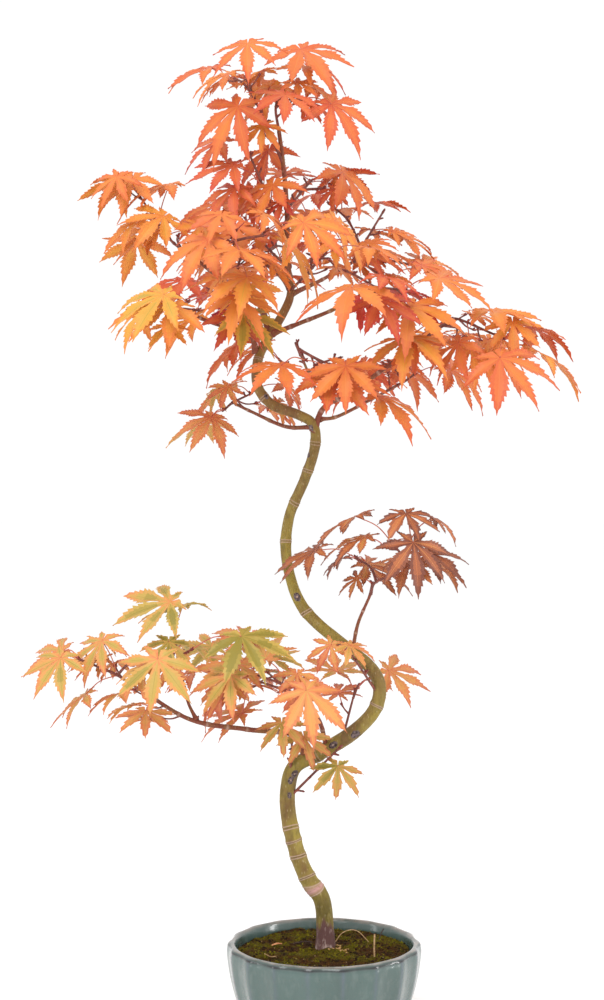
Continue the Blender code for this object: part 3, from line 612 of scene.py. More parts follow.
def grow_shoot(shoot, seed, length, owner, space):
    """The leaves of one shoot, in opposite pairs from its tip back, each pair turned square to the last."""
    run = way_along(shoot)
    headings = tangents(shoot)
    level = unit(np.cross(headings[-1], UP))
    leaves = []
    for pair in range(1 + int(max(0, run[-1] - FIRST_PAIR) // PAIR_STEP)):
        at = int(np.abs(run - (run[-1] - pair * PAIR_STEP)).argmin())
        axis = level if pair % 2 == 0 else np.cross(level, headings[at])
        for side in (-1, 1):
            rng = random.Random(f"{seed} {pair} {side}")
            for _ in range(TRIES):
                leaf = grow_leaf(rng, shoot[at], headings[at], side * axis, length)
                if space.is_free(leaf.beads(), owner):
                    space.add(leaf.beads(), owner)
                    leaves.append(leaf)
                    break
    return leaves


def stem_line(limbs, limb, share, tip):
    """The way from a limb's end, or from its side, to the tip of a mass's first shoot."""
    line = limbs[limb][0]
    if share is None:
        heading = unit(line[-1] - line[-2])
        foot = line[-1] + GAP * heading
    else:
        foot = line[round(share * (len(line) - 1))]
        heading = unit(tip - foot)
    return smooth_line([foot, foot + 0.4 * np.linalg.norm(tip - foot) * heading, tip], SHOOT_STEP)


def lay_shoots(limbs, limb, share, tips):
    """The shoots of a mass: its stem, and those that fork from it."""
    tips = [np.array(tip, float) for tip in tips]
    stem = stem_line(limbs, limb, share, tips[0])
    return [stem] + [forked_shoot(stem, tip) for tip in tips[1:]]


def in_reach(leaf, reach):
    """Whether a leaf keeps inside the box of its mass, give or take a margin."""
    beads = leaf.beads()[:, :3]
    low, high = reach
    return bool((beads > low - REACH_MARGIN).all() and (beads < high + REACH_MARGIN).all())


def grow_spur(rng, node, heading, length, owner, space, reach):
    """A short twig and its one or two small leaves, as (line, leaves), or None where it finds no room."""
    for _ in range(SPUR_TRIES):
        side = unit(np.cross(heading, [rng.gauss(0, 1) for _ in range(3)]))
        out = unit(rng.uniform(*SPUR_FORWARD) * heading + side + rng.uniform(*SPUR_RISE) * UP)
        run = rng.uniform(*SPUR_LENGTH)
        bend = run * unit(out + 0.35 * UP)
        line = smooth_line([node, node + 0.5 * run * out, node + 0.5 * run * out + 0.5 * bend], 3.0)
        if space.is_free(line_beads(line, STALK_BEAD)[1:], owner):
            break
    else:
        return None
    leaves = []
    end = tangents(line)[-1]
    axis = unit(np.cross(end, UP + 0.01))
    for turn in (-1, 1):
        for _ in range(SPUR_TRIES):
            leaf = grow_leaf(rng, line[-1], end, turn * axis, length * rng.uniform(*SPUR_LEAF))
            if in_reach(leaf, reach) and space.is_free(leaf.beads(), owner):
                space.add(leaf.beads(), owner)
                leaves.append(leaf)
                break
    line = line if leaves else line[:2]
    space.add(line_beads(line, STALK_BEAD)[1:], owner)
    return line, leaves


def reach_of(leaves):
    """The box that a mass's own leaves reach."""
    beads = np.vstack([leaf.beads()[:, :3] for leaf in leaves])
    return beads.min(axis=0), beads.max(axis=0)


@functools.lru_cache
def grown_tree():
    """The limbs, and each mass's shoots, spurs and leaves, by name.

    All shoots are laid first, then the leaves of the source, and last the finer spurs with their leaves.
    """
    limbs = limb_lines()
    space = Space()
    for line, radii in limbs.values():
        space.add(line_beads(line, radii + LIMB_MARGIN), -1)
    laid = [lay_shoots(limbs, limb, share, tips) for _, limb, share, *_, tips in MASSES]
    for owner, shoots in enumerate(laid):
        for shoot in shoots:
            space.add(line_beads(shoot, STALK_BEAD), owner)
    masses = {}
    for owner, (name, _, _, length, *_) in enumerate(MASSES):
        leaves = []
        for index, shoot in enumerate(laid[owner]):
            leaves += grow_shoot(shoot, f"{SEED} {name} {index}", length, owner, space)
        masses[name] = (laid[owner], [], leaves)
    for owner, (name, limb, _, length, *_) in enumerate(MASSES):
        bearer = limbs[limb][0] if limb != "trunk" else None
        grow_spurs(masses[name], bearer, f"{SEED} {name} spurs", length, owner, space)
    return limbs, masses


def grow_spurs(mass, bearer, seed, length, owner, space):
    """Adds the spurs of one mass, in even steps along its shoots and the outer half of its bough."""
    shoots, spurs, leaves = mass
    rng = random.Random(seed)
    reach = reach_of(leaves)
    lines = list(shoots)
    if bearer is not None:
        lines.append(bearer[len(bearer) // 2 :])
    for line in lines:
        run = way_along(line)
        headings = tangents(line)
        for i in range(1, 1 + int(run[-1] // SPUR_STEP)):
            way = run[-1] - (i - 0.5) * SPUR_STEP
            node = np.array([np.interp(way, run, line[:, axis]) for axis in range(3)])
            heading = headings[int(np.abs(run - way).argmin())]
            spur = grow_spur(rng, node, heading, length, owner, space, reach)
            if spur:
                spurs.append(spur[0])
                leaves += spur[1]


# Meshes


def new_object(name, mesh):
    thing = bpy.data.objects.new(name, mesh)
    bpy.context.scene.collection.objects.link(thing)
    return thing


def mesh_from(name, points, faces, scale=MM):
    """A mesh from points, in millimetres unless the scale says otherwise."""
    mesh = bpy.data.meshes.new(name)
    faces = [tuple(int(i) for i in face) for face in faces]
    mesh.from_pydata((scale * np.asarray(points)).tolist(), [], faces)
    mesh.update()
    return mesh


def add_values(mesh, **values):
    """Stores one number a vertex under each name."""
    for name, numbers in values.items():
        layer = mesh.attributes.new(name, "FLOAT", "POINT")
        layer.data.foreach_set("value", np.asarray(numbers, np.float32).reshape(-1))


def grid_faces(rows, columns, closed=True):
    """Quads of a grid of rows and columns, with the columns in a loop where it is closed."""
    across = columns if closed else columns - 1
    i, j = np.meshgrid(np.arange(rows - 1), np.arange(across), indexing="ij")
    low, high = i * columns, (i + 1) * columns
    j_next = (j + 1) % columns
    return np.stack([low + j, low + j_next, high + j_next, high + j], -1).reshape(-1, 4)


@contextlib.contextmanager
def edited(mesh, result=None):
    """The mesh opened for editing, which is then written back, or to the result."""
    work = bmesh.new()
    work.from_mesh(mesh)
    yield work
    work.to_mesh(result or mesh)
    work.free()


def face_outwards(mesh):
    with edited(mesh) as work:
        bmesh.ops.recalc_face_normals(work, faces=work.faces)


def applied(source, name):
    """The evaluated shape of an object as a plain mesh object. The source is removed."""
    bpy.context.view_layer.update()
    mesh = bpy.data.meshes.new_from_object(source.evaluated_get(bpy.context.evaluated_depsgraph_get()))
    bpy.data.objects.remove(source)
    mesh.name = name
    return new_object(name, mesh)


def hand_over(piece, nodes=()):
    """Gives a finished piece its body and hides the nodes that it stands for."""
    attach(piece, "root")
    if nodes:
        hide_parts(*nodes)


# Nodes and materials

FLOAT = "NodeSocketFloat"


def feed(tree, socket, value):
    """Sets a socket's value, or links it where the value is itself a socket."""
    if isinstance(value, bpy.types.NodeSocket):
        tree.links.new(value, socket)
    else:
        socket.default_value = value


def add_node(tree, kind, inputs=(), **settings):
    """Adds a node, sets its properties, and sets or links its inputs."""
    node = tree.nodes.new(kind)
    for key, value in settings.items():
        setattr(node, key, value)
    for key, value in dict(inputs).items():
        feed(tree, node.inputs[key], value)
    return node


def by_identifier(sockets, identifier):
    """The socket with an identifier, for nodes on which several share a title."""
    return next(socket for socket in sockets if socket.identifier == identifier)


def mask_group(name, **values):
    """A shader node group that makes a mask from a vector and some values, and its input sockets."""
    group = bpy.data.node_groups.new(name, "ShaderNodeTree")
    group.interface.new_socket("Vector", in_out="INPUT", socket_type="NodeSocketVector")
    for title, value in values.items():
        group.interface.new_socket(title, in_out="INPUT", socket_type=FLOAT).default_value = value
    group.interface.new_socket("Mask", in_out="OUTPUT", socket_type=FLOAT)
    return group, add_node(group, "NodeGroupInput").outputs


def spread(tree, value, low, high):
    """A mask that rises from nothing at the low value to one at the high value."""
    node = add_node(tree, "ShaderNodeMapRange", {"Value": value, "From Min": low, "From Max": high})
    return node.outputs["Result"]


@functools.lru_cache
def patches_group():
    """Soft patches: how much of the second look shows at a point."""
    group, given = mask_group("patches", Scale=100.0, Low=0.4, High=0.6)
    noise = add_node(
        group, "ShaderNodeTexNoise",
        {"Vector": given["Vector"], "Scale": given["Scale"], "Detail": 5.0, "Roughness": 0.62},
    )
    mask = spread(group, noise.outputs["Fac"], given["Low"], given["High"])
    add_node(group, "NodeGroupOutput", {"Mask": mask})
    return group


@functools.lru_cache
def specks_group():
    """Small round specks: one inside a speck and nothing between them."""
    group, given = mask_group("specks", Scale=500.0, Size=0.25)
    cells = add_node(group, "ShaderNodeTexVoronoi", {"Vector": given["Vector"], "Scale": given["Scale"]})
    mask = spread(group, cells.outputs["Distance"], given["Size"], 0.0)
    add_node(group, "NodeGroupOutput", {"Mask": mask})
    return group


class Finish:
    """A material with one Principled BSDF, and short calls that layer colours and heights over it."""

    def __init__(self, name, colour, roughness, **sockets):
        self.material = bpy.data.materials.new(name)
        self.material.use_nodes = True
        self.tree = self.material.node_tree
        self.shader = self.tree.nodes["Principled BSDF"]
        self.shader.inputs["Base Color"].default_value = colour
        self.shader.inputs["Roughness"].default_value = roughness
        for title, value in sockets.items():
            self.shader.inputs[title.replace("_", " ")].default_value = value
        self.base = colour

    def mask(self, group, stretch, **values):
        """A mask group's result at the object's coordinates, stretched by a scale."""
        place = add_node(self.tree, "ShaderNodeTexCoord").outputs["Object"]
        place = add_node(self.tree, "ShaderNodeMapping", {"Vector": place, "Scale": stretch}).outputs[0]
        node = add_node(self.tree, "ShaderNodeGroup", {"Vector": place, **values}, node_tree=group)
        return node.outputs["Mask"]

    def patches(self, scale, low=0.4, high=0.6, stretch=(1, 1, 1)):
        return self.mask(patches_group(), stretch, Scale=scale, Low=low, High=high)

    def specks(self, scale, size=0.25, stretch=(1, 1, 1)):
        return self.mask(specks_group(), stretch, Scale=scale, Size=size)

    def value(self, name):
        """A number that the mesh stores at each vertex."""
        return add_node(self.tree, "ShaderNodeAttribute", attribute_name=name).outputs["Fac"]

    def times(self, first, second):
        return add_node(self.tree, "ShaderNodeMath", {0: first, 1: second}, operation="MULTIPLY").outputs[0]

    def plus(self, first, second):
        return add_node(self.tree, "ShaderNodeMath", {0: first, 1: second}, operation="ADD").outputs[0]

    def cover(self, mask, colour, strength=None):
        """Lays a colour over what is there, where the mask, times any strength, is high."""
        if strength is not None:
            mask = self.times(mask, strength)
        mix = add_node(self.tree, "ShaderNodeMix", {"Factor": mask}, data_type="RGBA", clamp_factor=True)
        feed(self.tree, by_identifier(mix.inputs, "A_Color"), self.base)
        feed(self.tree, by_identifier(mix.inputs, "B_Color"), colour)
        self.base = by_identifier(mix.outputs, "Result_Color")
        feed(self.tree, self.shader.inputs["Base Color"], self.base)

    def rough(self, mask, low, high):
        """Roughness between two values by a mask."""
        node = add_node(self.tree, "ShaderNodeMapRange", {"Value": mask, "To Min": low, "To Max": high})
        feed(self.tree, self.shader.inputs["Roughness"], node.outputs["Result"])

    def bump(self, height, depth):
        node = add_node(self.tree, "ShaderNodeBump", {"Height": height, "Distance": depth, "Strength": 1.0})
        feed(self.tree, self.shader.inputs["Normal"], node.outputs["Normal"])


def new_tree(name, **kinds):
    """A Geometry Nodes tree with its geometry and more inputs, by title and kind, and their sockets."""
    tree = bpy.data.node_groups.new(name, "GeometryNodeTree")
    tree.is_modifier = True
    for title, kind in {"Geometry": "Geometry", **kinds}.items():
        tree.interface.new_socket(title, in_out="INPUT", socket_type=f"NodeSocket{kind}")
    tree.interface.new_socket("Geometry", in_out="OUTPUT", socket_type="NodeSocketGeometry")
    return tree, add_node(tree, "NodeGroupInput").outputs


def stored(tree, name, kind="FLOAT"):
    """A value that the mesh stores at each point."""
    node = add_node(tree, "GeometryNodeInputNamedAttribute", {"Name": name}, data_type=kind)
    return node.outputs["Attribute"]


def close_tree(tree, geometry, finish, smooth):
    """Ends a tree with its geometry realized, smoothed if it is to be, and coated."""
    made = add_node(tree, "GeometryNodeRealizeInstances", {"Geometry": geometry})
    if smooth:
        made = add_node(tree, "GeometryNodeSetShadeSmooth", {"Geometry": made.outputs["Geometry"]})
    made = made.outputs["Geometry"]
    coated = add_node(tree, "GeometryNodeSetMaterial", {"Geometry": made, "Material": finish})
    add_node(tree, "NodeGroupOutput", {"Geometry": coated.outputs["Geometry"]})
    return tree


def run_tree(source, tree, name, **inputs):
    """Puts a node tree on an object, sets its inputs by title, and makes the result a plain mesh."""
    modifier = source.modifiers.new(name, "NODES")
    modifier.node_group = tree
    for socket in tree.interface.items_tree:
        if socket.item_type == "SOCKET" and socket.in_out == "INPUT" and socket.name in inputs:
            modifier[socket.identifier] = inputs[socket.name]
    return applied(source, name)


def helper(name, shape, scale=MM):
    """A hidden object whose shape a node tree repeats."""
    thing = new_object(name, mesh_from(name, *shape, scale))
    thing.hide_render = True
    return thing


# Pot


def pot_profile():
    """The section of the bowl from the middle of its floor, up inside, over the lip and down outside."""
    inside = smooth_line([(0, POT_FLOOR, 0)] + [(r, z, 0) for r, z in POT_INSIDE[::-1]], 2.0)[:, :2]
    outside = smooth_line([(r, z, 0) for r, z in POT_OUTSIDE[1:]], 1.6)[:, :2]
    return np.array([*inside[:-1], *POT_LIP, *outside[1:], *POT_FOOT])


def pot_shape(settings):
    """The bowl's points, by ring and column, and how strongly each of its glaze's marks shows."""
    profile = pot_profile()
    columns = settings.facets * FACET_COLUMNS
    angle = 2 * math.pi * np.arange(columns) / columns - math.pi / 2
    radius, height = profile[:, 0][:, None], profile[:, 1][:, None]
    outer = np.zeros(len(profile))
    outer[int(np.argmax(profile[:, 0] > LIP_CREST)) : 1 - len(POT_FOOT)] = 1
    outer = np.convolve(np.pad(outer, 2, mode="edge"), np.ones(5) / 5, "valid")[:, None]
    turn = np.abs(np.sin(0.5 * settings.facets * (angle + math.pi / 2)))[None]
    hollow = settings.hollow / MM * (1 - turn**3)
    reach = radius - outer * hollow
    even = 0 * reach
    below = (radius > 73.5) * bump_at(height - 70.1, 1.1)
    marks = {
        "corner": 0.75 * outer * turn**60 + even,
        "thin": 0.85 * bump_at(height - 72.1, 0.55) + even,
        "line": (0.75 + 0.25 * turn**6) * below + even,
    }
    return np.stack([reach * np.cos(angle), reach * np.sin(angle), height + even], -1), marks


def glaze(settings):
    finish = Finish("celadon_glaze", settings.glaze, settings.roughness, Coat_Weight=0.5, Coat_Roughness=0.08)
    finish.cover(finish.patches(24, 0.4, 0.66, (1, 1, 0.35)), settings.pooled)
    finish.cover(finish.patches(150, 0.5, 0.75, (1, 1, 0.5)), shade("glaze_bloom"), 0.35)
    finish.cover(finish.specks(260, 0.12), shade("glaze_speck"), 0.6)
    finish.cover(finish.value("corner"), settings.corner, finish.patches(45, 0.3, 0.6))
    finish.cover(finish.value("thin"), settings.thin, finish.patches(70, 0.25, 0.6))
    finish.cover(finish.value("line"), settings.line, finish.patches(90, 0.1, 0.45))
    finish.bump(finish.patches(90, 0.3, 0.7), 0.00015)
    return finish.material


def clay():
    finish = Finish("bare_clay", shade("clay"), 0.8)
    finish.cover(finish.patches(220), shade("clay_stain"))
    finish.bump(finish.patches(600), 0.0002)
    return finish.material


class MAPLE_OT_pot(bpy.types.Operator):
    """Turns the glazed bowl with its hollow facets and rounded lip"""

    bl_idname = "maple.pot"
    bl_label = "Pot"

    def execute(self, context):
        settings = context.scene.maple_pot
        points, marks = pot_shape(settings)
        rings, columns, _ = points.shape
        mesh = mesh_from("pot_glazed", points.reshape(-1, 3), grid_faces(rings, columns))
        add_values(mesh, **marks)
        with edited(mesh) as work:
            bmesh.ops.remove_doubles(work, verts=work.verts, dist=1e-6)
            bmesh.ops.recalc_face_normals(work, faces=work.faces)
            for face in work.faces:
                face.material_index = int(max(v.co.z for v in face.verts) < MM * CLAY_TOP)
        mesh.materials.append(glaze(settings))
        mesh.materials.append(clay())
        mesh.shade_smooth()
        hand_over(new_object("pot_glazed", mesh), ["pot"])
        return {"FINISHED"}


# Soil, moss and litter


def ripple(points, scale, seed):
    """A smooth random height between about -1 and 1 over points of any dimension."""
    rng = random.Random(seed)
    total = 0
    for octave in range(3):
        for _ in range(4):
            heading = unit([rng.gauss(0, 1) for _ in range(points.shape[-1])])
            wave = points @ heading * 2**octave / scale + rng.uniform(*PHASES)
            total = total + np.sin(wave) / (2 * 1.6**octave)
    return total / 2.2


def bump_at(distance, width):
    """One at no distance, falling off smoothly within about the width."""
    return np.exp(-((distance / width) ** 2))


def mossiness(flat):
    """How thick the moss stands, from nothing on bare soil to one on a cushion."""
    return np.clip(0.42 + 1.5 * ripple(flat, 8, "moss") + 0.5 * ripple(flat, 3, "moss edge"), 0, 1)


def soil_height(x, y, settings):
    """Height of the soil: a mound at the trunk, a hollow at its left, and a gentle unevenness."""
    flat = np.stack([x, y], -1)
    away = np.hypot(x - TRUNK_X, y)
    mound = settings.rise / MM * np.exp(-((away / 22) ** 2))
    hollow = -3.2 * np.exp(-(((x + 9) / 6) ** 2) - ((y + 6) / 5) ** 2)
    rim = -1.2 * np.clip((np.hypot(x, y) - 58) / 9, 0, 1)
    cushions = 1.5 * mossiness(flat) + 0.8 * ripple(flat, 2.6, "clods")
    return SOIL_TOP + 1.2 + mound + hollow + rim + 1.1 * ripple(flat, 9, "swell") + cushions


def soil_finish(settings):
    finish = Finish("mossy_soil", settings.earth, 0.95, Specular_IOR_Level=0.1)
    finish.cover(finish.value("mossy"), settings.moss)
    finish.cover(finish.patches(190, 0.5, 0.62), shade("soil_damp"))
    # dark specks: painted shade in the soil's pits
    finish.cover(finish.specks(330, 0.3), shade("soil_pit_shade"), 0.7)
    finish.cover(finish.specks(520, 0.17), shade("soil_grain"))
    finish.bump(finish.plus(finish.patches(420, 0.2, 0.8), finish.specks(380, 0.5)), 0.0011)
    return finish.material


def soil_points(settings):
    """The soil's rings of points, from the middle outwards and then down to its underside."""
    rings, columns = SOIL_GRID
    radius = np.linspace(*SOIL_REACH, rings)[:, None]
    angle = 2 * math.pi * np.arange(columns) / columns
    x, y = radius * np.cos(angle), radius * np.sin(angle)
    top = np.stack([x, y, soil_height(x, y, settings)], -1)
    skirt = top[-1] * (1, 1, 0) + (0, 0, SOIL_FLOOR)
    under = skirt * (0.02, 0.02, 1)
    return np.concatenate([top.reshape(-1, 3), skirt, under])


class MAPLE_OT_soil(bpy.types.Operator):
    """Fills the bowl with uneven soil, mounded at the trunk"""

    bl_idname = "maple.soil"
    bl_label = "Soil"

    def execute(self, context):
        settings = context.scene.maple_soil
        points = soil_points(settings)
        rings, columns = SOIL_GRID
        first = tuple(range(columns))[::-1]
        last = tuple(range(len(points) - columns, len(points)))
        mesh = mesh_from("soil_surface", points, [*grid_faces(rings + 2, columns), first, last])
        mossy = mossiness(points[:, :2])
        crumbly = np.exp(-(((points[:, 0] - 11) / 5) ** 2) - ((points[:, 1] + 5) / 5) ** 2)
        add_values(mesh, mossy=mossy, bare=np.clip(1.1 - mossy, 0, 1), crumbly=crumbly)
        face_outwards(mesh)
        mesh.materials.append(soil_finish(settings))
        mesh.shade_smooth()
        hand_over(new_object("soil_surface", mesh), ["soil"])
        return {"FINISHED"}


def scatter_tree(name):
    """Geometry Nodes that strew a shape over faces, turned and sized at random."""
    tree, given = new_tree(
        name, Shape="Object", Where="String", Density="Float", Spacing="Float", Least="Float", Most="Float",
        Seed="Int", Finish="Material",
    )
    points = add_node(
        tree, "GeometryNodeDistributePointsOnFaces",
        {
            "Mesh": given["Geometry"], "Distance Min": given["Spacing"], "Density Max": given["Density"],
            "Seed": given["Seed"],
        },
        distribute_method="POISSON",
    )
    feed(tree, points.inputs["Density Factor"], stored(tree, given["Where"]))
    shape = add_node(tree, "GeometryNodeObjectInfo", {"Object": given["Shape"]})
    spin = add_node(
        tree, "FunctionNodeRandomValue", {"Max": STREWN_TURN, "Seed": given["Seed"]}, data_type="FLOAT_VECTOR"
    )
    size = add_node(tree, "FunctionNodeRandomValue", data_type="FLOAT")
    for identifier, title in (("Min_001", "Least"), ("Max_001", "Most"), ("Seed", "Seed")):
        feed(tree, by_identifier(size.inputs, identifier), given[title])
    placed = add_node(
        tree, "GeometryNodeInstanceOnPoints",
        {
            "Points": points.outputs["Points"], "Instance": shape.outputs["Geometry"],
            "Rotation": by_identifier(spin.outputs, "Value"),
            "Scale": by_identifier(size.outputs, "Value_001"),
        },
    )
    return close_tree(tree, placed.outputs["Instances"], given["Finish"], smooth=False)


def tuft_shape():
    """A moss tuft: a few short pointed blades that lean apart."""
    rng = random.Random("tuft")
    points, faces = [], []
    for i in range(TUFT_BLADES):
        turn = 6.28 * i / TUFT_BLADES + rng.uniform(-0.3, 0.3)
        lean = rng.uniform(0.3, 1.0)
        out = np.array([math.cos(turn), math.sin(turn), 0])
        side = 0.2 * np.array([-math.sin(turn), math.cos(turn), 0])
        foot = 0.25 * out - 0.2 * UP
        tip = foot + lean * out + rng.uniform(0.8, 1.5) * UP
        first = len(points)
        points += [foot - side, foot + side, foot + 0.12 * out, tip]
        faces += [[first + k for k in face] for face in TUFT_FACES]
    return points, faces


def crumb_shape():
    """A rough crumb of soil."""
    work = bmesh.new()
    bmesh.ops.create_icosphere(work, subdivisions=1, radius=1.0)
    rng = random.Random("crumb")
    points = [np.array(v.co) * rng.uniform(0.6, 1.05) * (1, 0.8, 0.6) for v in work.verts]
    faces = [[v.index for v in face.verts] for face in work.faces]
    work.free()
    return points, faces


def top_faces(mesh):
    """A copy of the soil's upper faces alone, clear of the trunk's foot and of the pot's wall."""
    copy = bpy.data.meshes.new("soil_top")
    with edited(mesh, copy) as work:
        away = []
        for face in work.faces:
            centre = face.calc_center_median() / MM
            from_trunk = math.hypot(centre.x - TRUNK_X, centre.y)
            from_middle = math.hypot(centre.x, centre.y)
            if face.normal.z < 0.2 or from_middle > STREWN_REACH or from_trunk < TRUNK_CLEAR:
                away.append(face)
        bmesh.ops.delete(work, geom=away, context="FACES")
    return copy


class MAPLE_OT_moss(bpy.types.Operator):
    """Strews moss tufts and crumbs over the soil"""

    bl_idname = "maple.moss"
    bl_label = "Moss and crumbs"

    def execute(self, context):
        settings = context.scene.maple_soil
        ground = bpy.data.objects["soil_surface"]
        tree = scatter_tree("strewn_over_soil")
        shapes = {"tuft": helper("tuft_shape", tuft_shape()), "crumb": helper("crumb_shape", crumb_shape())}
        for name, shape, where, setting, part, spacing, least, most, seed, finish, tint in STREWN:
            source = new_object(name, top_faces(ground.data))
            piece = run_tree(
                source, tree, name, Shape=shapes[shape], Where=where,
                Density=float(part * getattr(settings, setting)), Spacing=spacing, Least=least, Most=most,
                Seed=seed, Finish=Finish(finish, linear(tint), 0.9, Specular_IOR_Level=0.1).material,
            )
            hand_over(piece)
        for shape in shapes.values():
            bpy.data.objects.remove(shape)
        return {"FINISHED"}


def ribbon(points, widths, thick, name, finish):
    """A closed flat strip of litter along a line."""
    line = smooth_line(points, 1.2)
    run = way_along(line)
    wide = np.interp(run / run[-1], np.linspace(0, 1, len(widths)), widths)
    sides = np.array([unit(np.cross(heading, UP + 0.01)) for heading in tangents(line)])
    lifts = np.cross(sides, tangents(line))
    corners = [(1, 0), (0.4, 0.5), (-0.4, 0.5), (-1, 0), (-0.4, -0.5), (0.4, -0.5)]
    rings = np.stack([line + 0.5 * wide[:, None] * a * sides + thick * b * lifts for a, b in corners], 1)
    mesh = mesh_from(name, *tube_mesh(rings))
    face_outwards(mesh)
    mesh.materials.append(finish)
    hand_over(new_object(name, mesh))


class MAPLE_OT_litter(bpy.types.Operator):
    """Lays the dry bits on the soil: a scrap of leaf, pale straws and twigs"""

    bl_idname = "maple.litter"
    bl_label = "Litter"

    def execute(self, context):
        settings = context.scene.maple_soil
        straw = Finish("dry_straw", shade("straw"), 0.7)
        straw.cover(straw.patches(500), shade("straw_stain"))
        scrap = Finish("dry_scrap", shade("scrap"), 0.6)
        scrap.cover(scrap.patches(400, 0.45, 0.6), shade("scrap_pale"))
        finishes = {"straw": straw, "scrap": scrap, "dark": Finish("dead_twig", shade("dead_twig"), 0.8)}
        for name, finish, widths, thick, places in LITTER:
            lifted = [(x, y, float(soil_height(x, y, settings)) + rise) for x, y, rise in places]
            ribbon(lifted, widths, thick, name, finishes[finish].material)
        return {"FINISHED"}


# Bark


def frames(line, first):
    """Two directions square to the line at each point, carried along it without twist."""
    headings = tangents(line)
    normal = unit(first - (first @ headings[0]) * headings[0])
    normals = [normal]
    for heading in headings[1:]:
        normal = unit(normal - (normal @ heading) * heading)
        normals.append(normal)
    normals = np.array(normals)
    return normals, np.cross(headings, normals)


def side_turns(sides):
    """The angle of each side of a tube."""
    return 2 * math.pi * np.arange(sides) / sides


def round_tube(run, turn, reach, width):
    """Places round a tube, by ring and side, for its ripples to be drawn at."""
    return np.stack(np.broadcast_arrays(run[:, None] / reach, width * np.cos(turn), width * np.sin(turn)), -1)


def swept(line, radii, first):
    """Points of a tube whose radii are given by ring and side."""
    normals, sides = frames(line, first)
    turn = side_turns(radii.shape[1])
    out = np.cos(turn)[None, :, None] * normals[:, None] + np.sin(turn)[None, :, None] * sides[:, None]
    return line[:, None] + radii[..., None] * out


def tube_mesh(points):
    """A closed tube from rings of points, with its two ends closed by a fan."""
    rings, sides, _ = points.shape
    middle = [points[0].mean(axis=0), points[-1].mean(axis=0)]
    faces = grid_faces(rings, sides).tolist()
    last = rings * sides
    for j in range(sides):
        k = (j + 1) % sides
        faces.append((last, k, j))
        faces.append((last + 1, last - sides + j, last - sides + k))
    return np.vstack([points.reshape(-1, 3), middle]), faces


def trunk_rows(step):
    """The trunk's middle line from a little under the soil, in steps that are shorter at rings and scars."""
    line = smooth_line(TRUNK_LINE, 0.25 * step)
    busy = [row[0] for row in RINGS] + [row[1] for row in SCARS]
    near = np.abs(line[:, 2][:, None] - busy).min(axis=1) < 4.5
    keep = near | (np.arange(len(line)) % 4 == 0)
    keep[[0, -1]] = True
    return np.vstack([line[0] - TRUNK_SUNK * UP, line[0] - 0.5 * TRUNK_SUNK * UP, line[keep]])


def add_rings(skin, line, run, turn):
    """Raises the bud rings on the skin; gives their ridges, corky bands and the painted shade in their
    grooves.
    """
    ring, crease_shade, cork = np.zeros_like(skin), np.zeros_like(skin), np.zeros_like(skin)
    rng = random.Random("rings")
    for height, strength, wide in RINGS:
        at = float(np.interp(height, line[:, 2], run))
        wave = 0.35 * np.cos(2 * turn + rng.uniform(*PHASES))
        wave = wave + 0.9 * wide * np.cos(turn + rng.uniform(*PHASES))
        away = run[:, None] - at - 0.6 * wave
        scale = np.interp(at / run[-1], (0, 1), (1, 0.45))
        broad = wide > 2
        width = wide * (1 + 0.45 * broad * np.cos(turn + 1.1))
        lips = bump_at(away - width, 0.38) + bump_at(away + width, 0.38)
        swell = (0.5 + 0.25 * broad) * bump_at(away, 1.8 + wide)
        skin += scale * (swell + 0.3 * lips - 0.3 * bump_at(away, 0.4))
        ring += strength * lips
        cork += broad * bump_at(away, 0.8 * width)
        # painted shade along the groove in the middle of each narrow ring
        crease_shade = np.maximum(crease_shade, strength * (1 - broad) * bump_at(away, 0.3))
    return {"ring": np.clip(ring, 0, 1), "crease_shade": crease_shade, "cork": cork}


def add_scars(skin, line, radii):
    """Raises the old leaf scars on the trunk's skin, and gives how far into a scar each point lies."""
    points = swept(line, skin, FRONT)
    scar = np.zeros_like(skin)
    for x, height, size in SCARS:
        at = int(np.abs(line[:, 2] - height).argmin())
        offset = float(np.clip((x - line[at, 0]) / radii[at], -0.9, 0.9))
        place = line[at] + radii[at] * np.array([offset, -math.sqrt(1 - offset**2), 0])
        heading = unit(line[min(at + 2, len(line) - 1)] - line[at - 2])
        apart = points - place
        along = apart @ heading
        away = np.sqrt(np.maximum((apart**2).sum(axis=-1) - 0.55 * along**2, 0))
        scar = np.maximum(scar, bump_at(away, 0.7 * size))
        rim = 0.1 * size * bump_at(away - 0.6 * size, 0.25 * size)
        skin += rim + 0.05 * size * bump_at(away, 0.25 * size)
    return scar


def trunk_skin(settings):
    """The trunk's tube in relief, with what its finish needs at each point."""
    line = trunk_rows(settings.step / MM)
    run = way_along(line) - TRUNK_SUNK
    radii = trunk_radii(run)
    turn = side_turns(settings.sides)
    relief = settings.relief / MM
    swell = ripple(round_tube(run, turn, 9, 1.6), 1, "swell")
    grain = ripple(round_tube(run, turn, 2.4, 5), 1, "grain")
    skin = radii[:, None] + relief * (0.8 * swell + 0.5 * grain) * np.minimum(1, radii[:, None] / 5)
    roots = np.cos(3 * turn + 0.7) * 0.5 + np.cos(5 * turn + 2.1) * 0.35
    skin += 1.6 * np.exp(-np.clip(run, 0, None) / 7)[:, None] * roots
    fields = add_rings(skin, line, run, turn)
    fields["scar"] = add_scars(skin, line, radii)
    height, even = line[:, 2], 0 * skin
    ragged = 3 * np.cos(3 * turn) + 2 * np.cos(7 * turn + 1)
    fields["wood"] = np.clip((WOOD_TOP - run[:, None] + ragged) / WOOD_FADE, 0, 1)
    fields["youth"] = np.clip((run / run[-1] - YOUTH[0]) / YOUTH[1], 0, 1)[:, None] + even
    worn = sum(bump_at(height - middle, half) for middle, half in WORN)
    fields["worn"] = np.clip(worn, 0, 1)[:, None] + even
    fields["deep"] = bump_at(height - SHADED[0], SHADED[1])[:, None] + even
    return swept(line, skin, FRONT), fields


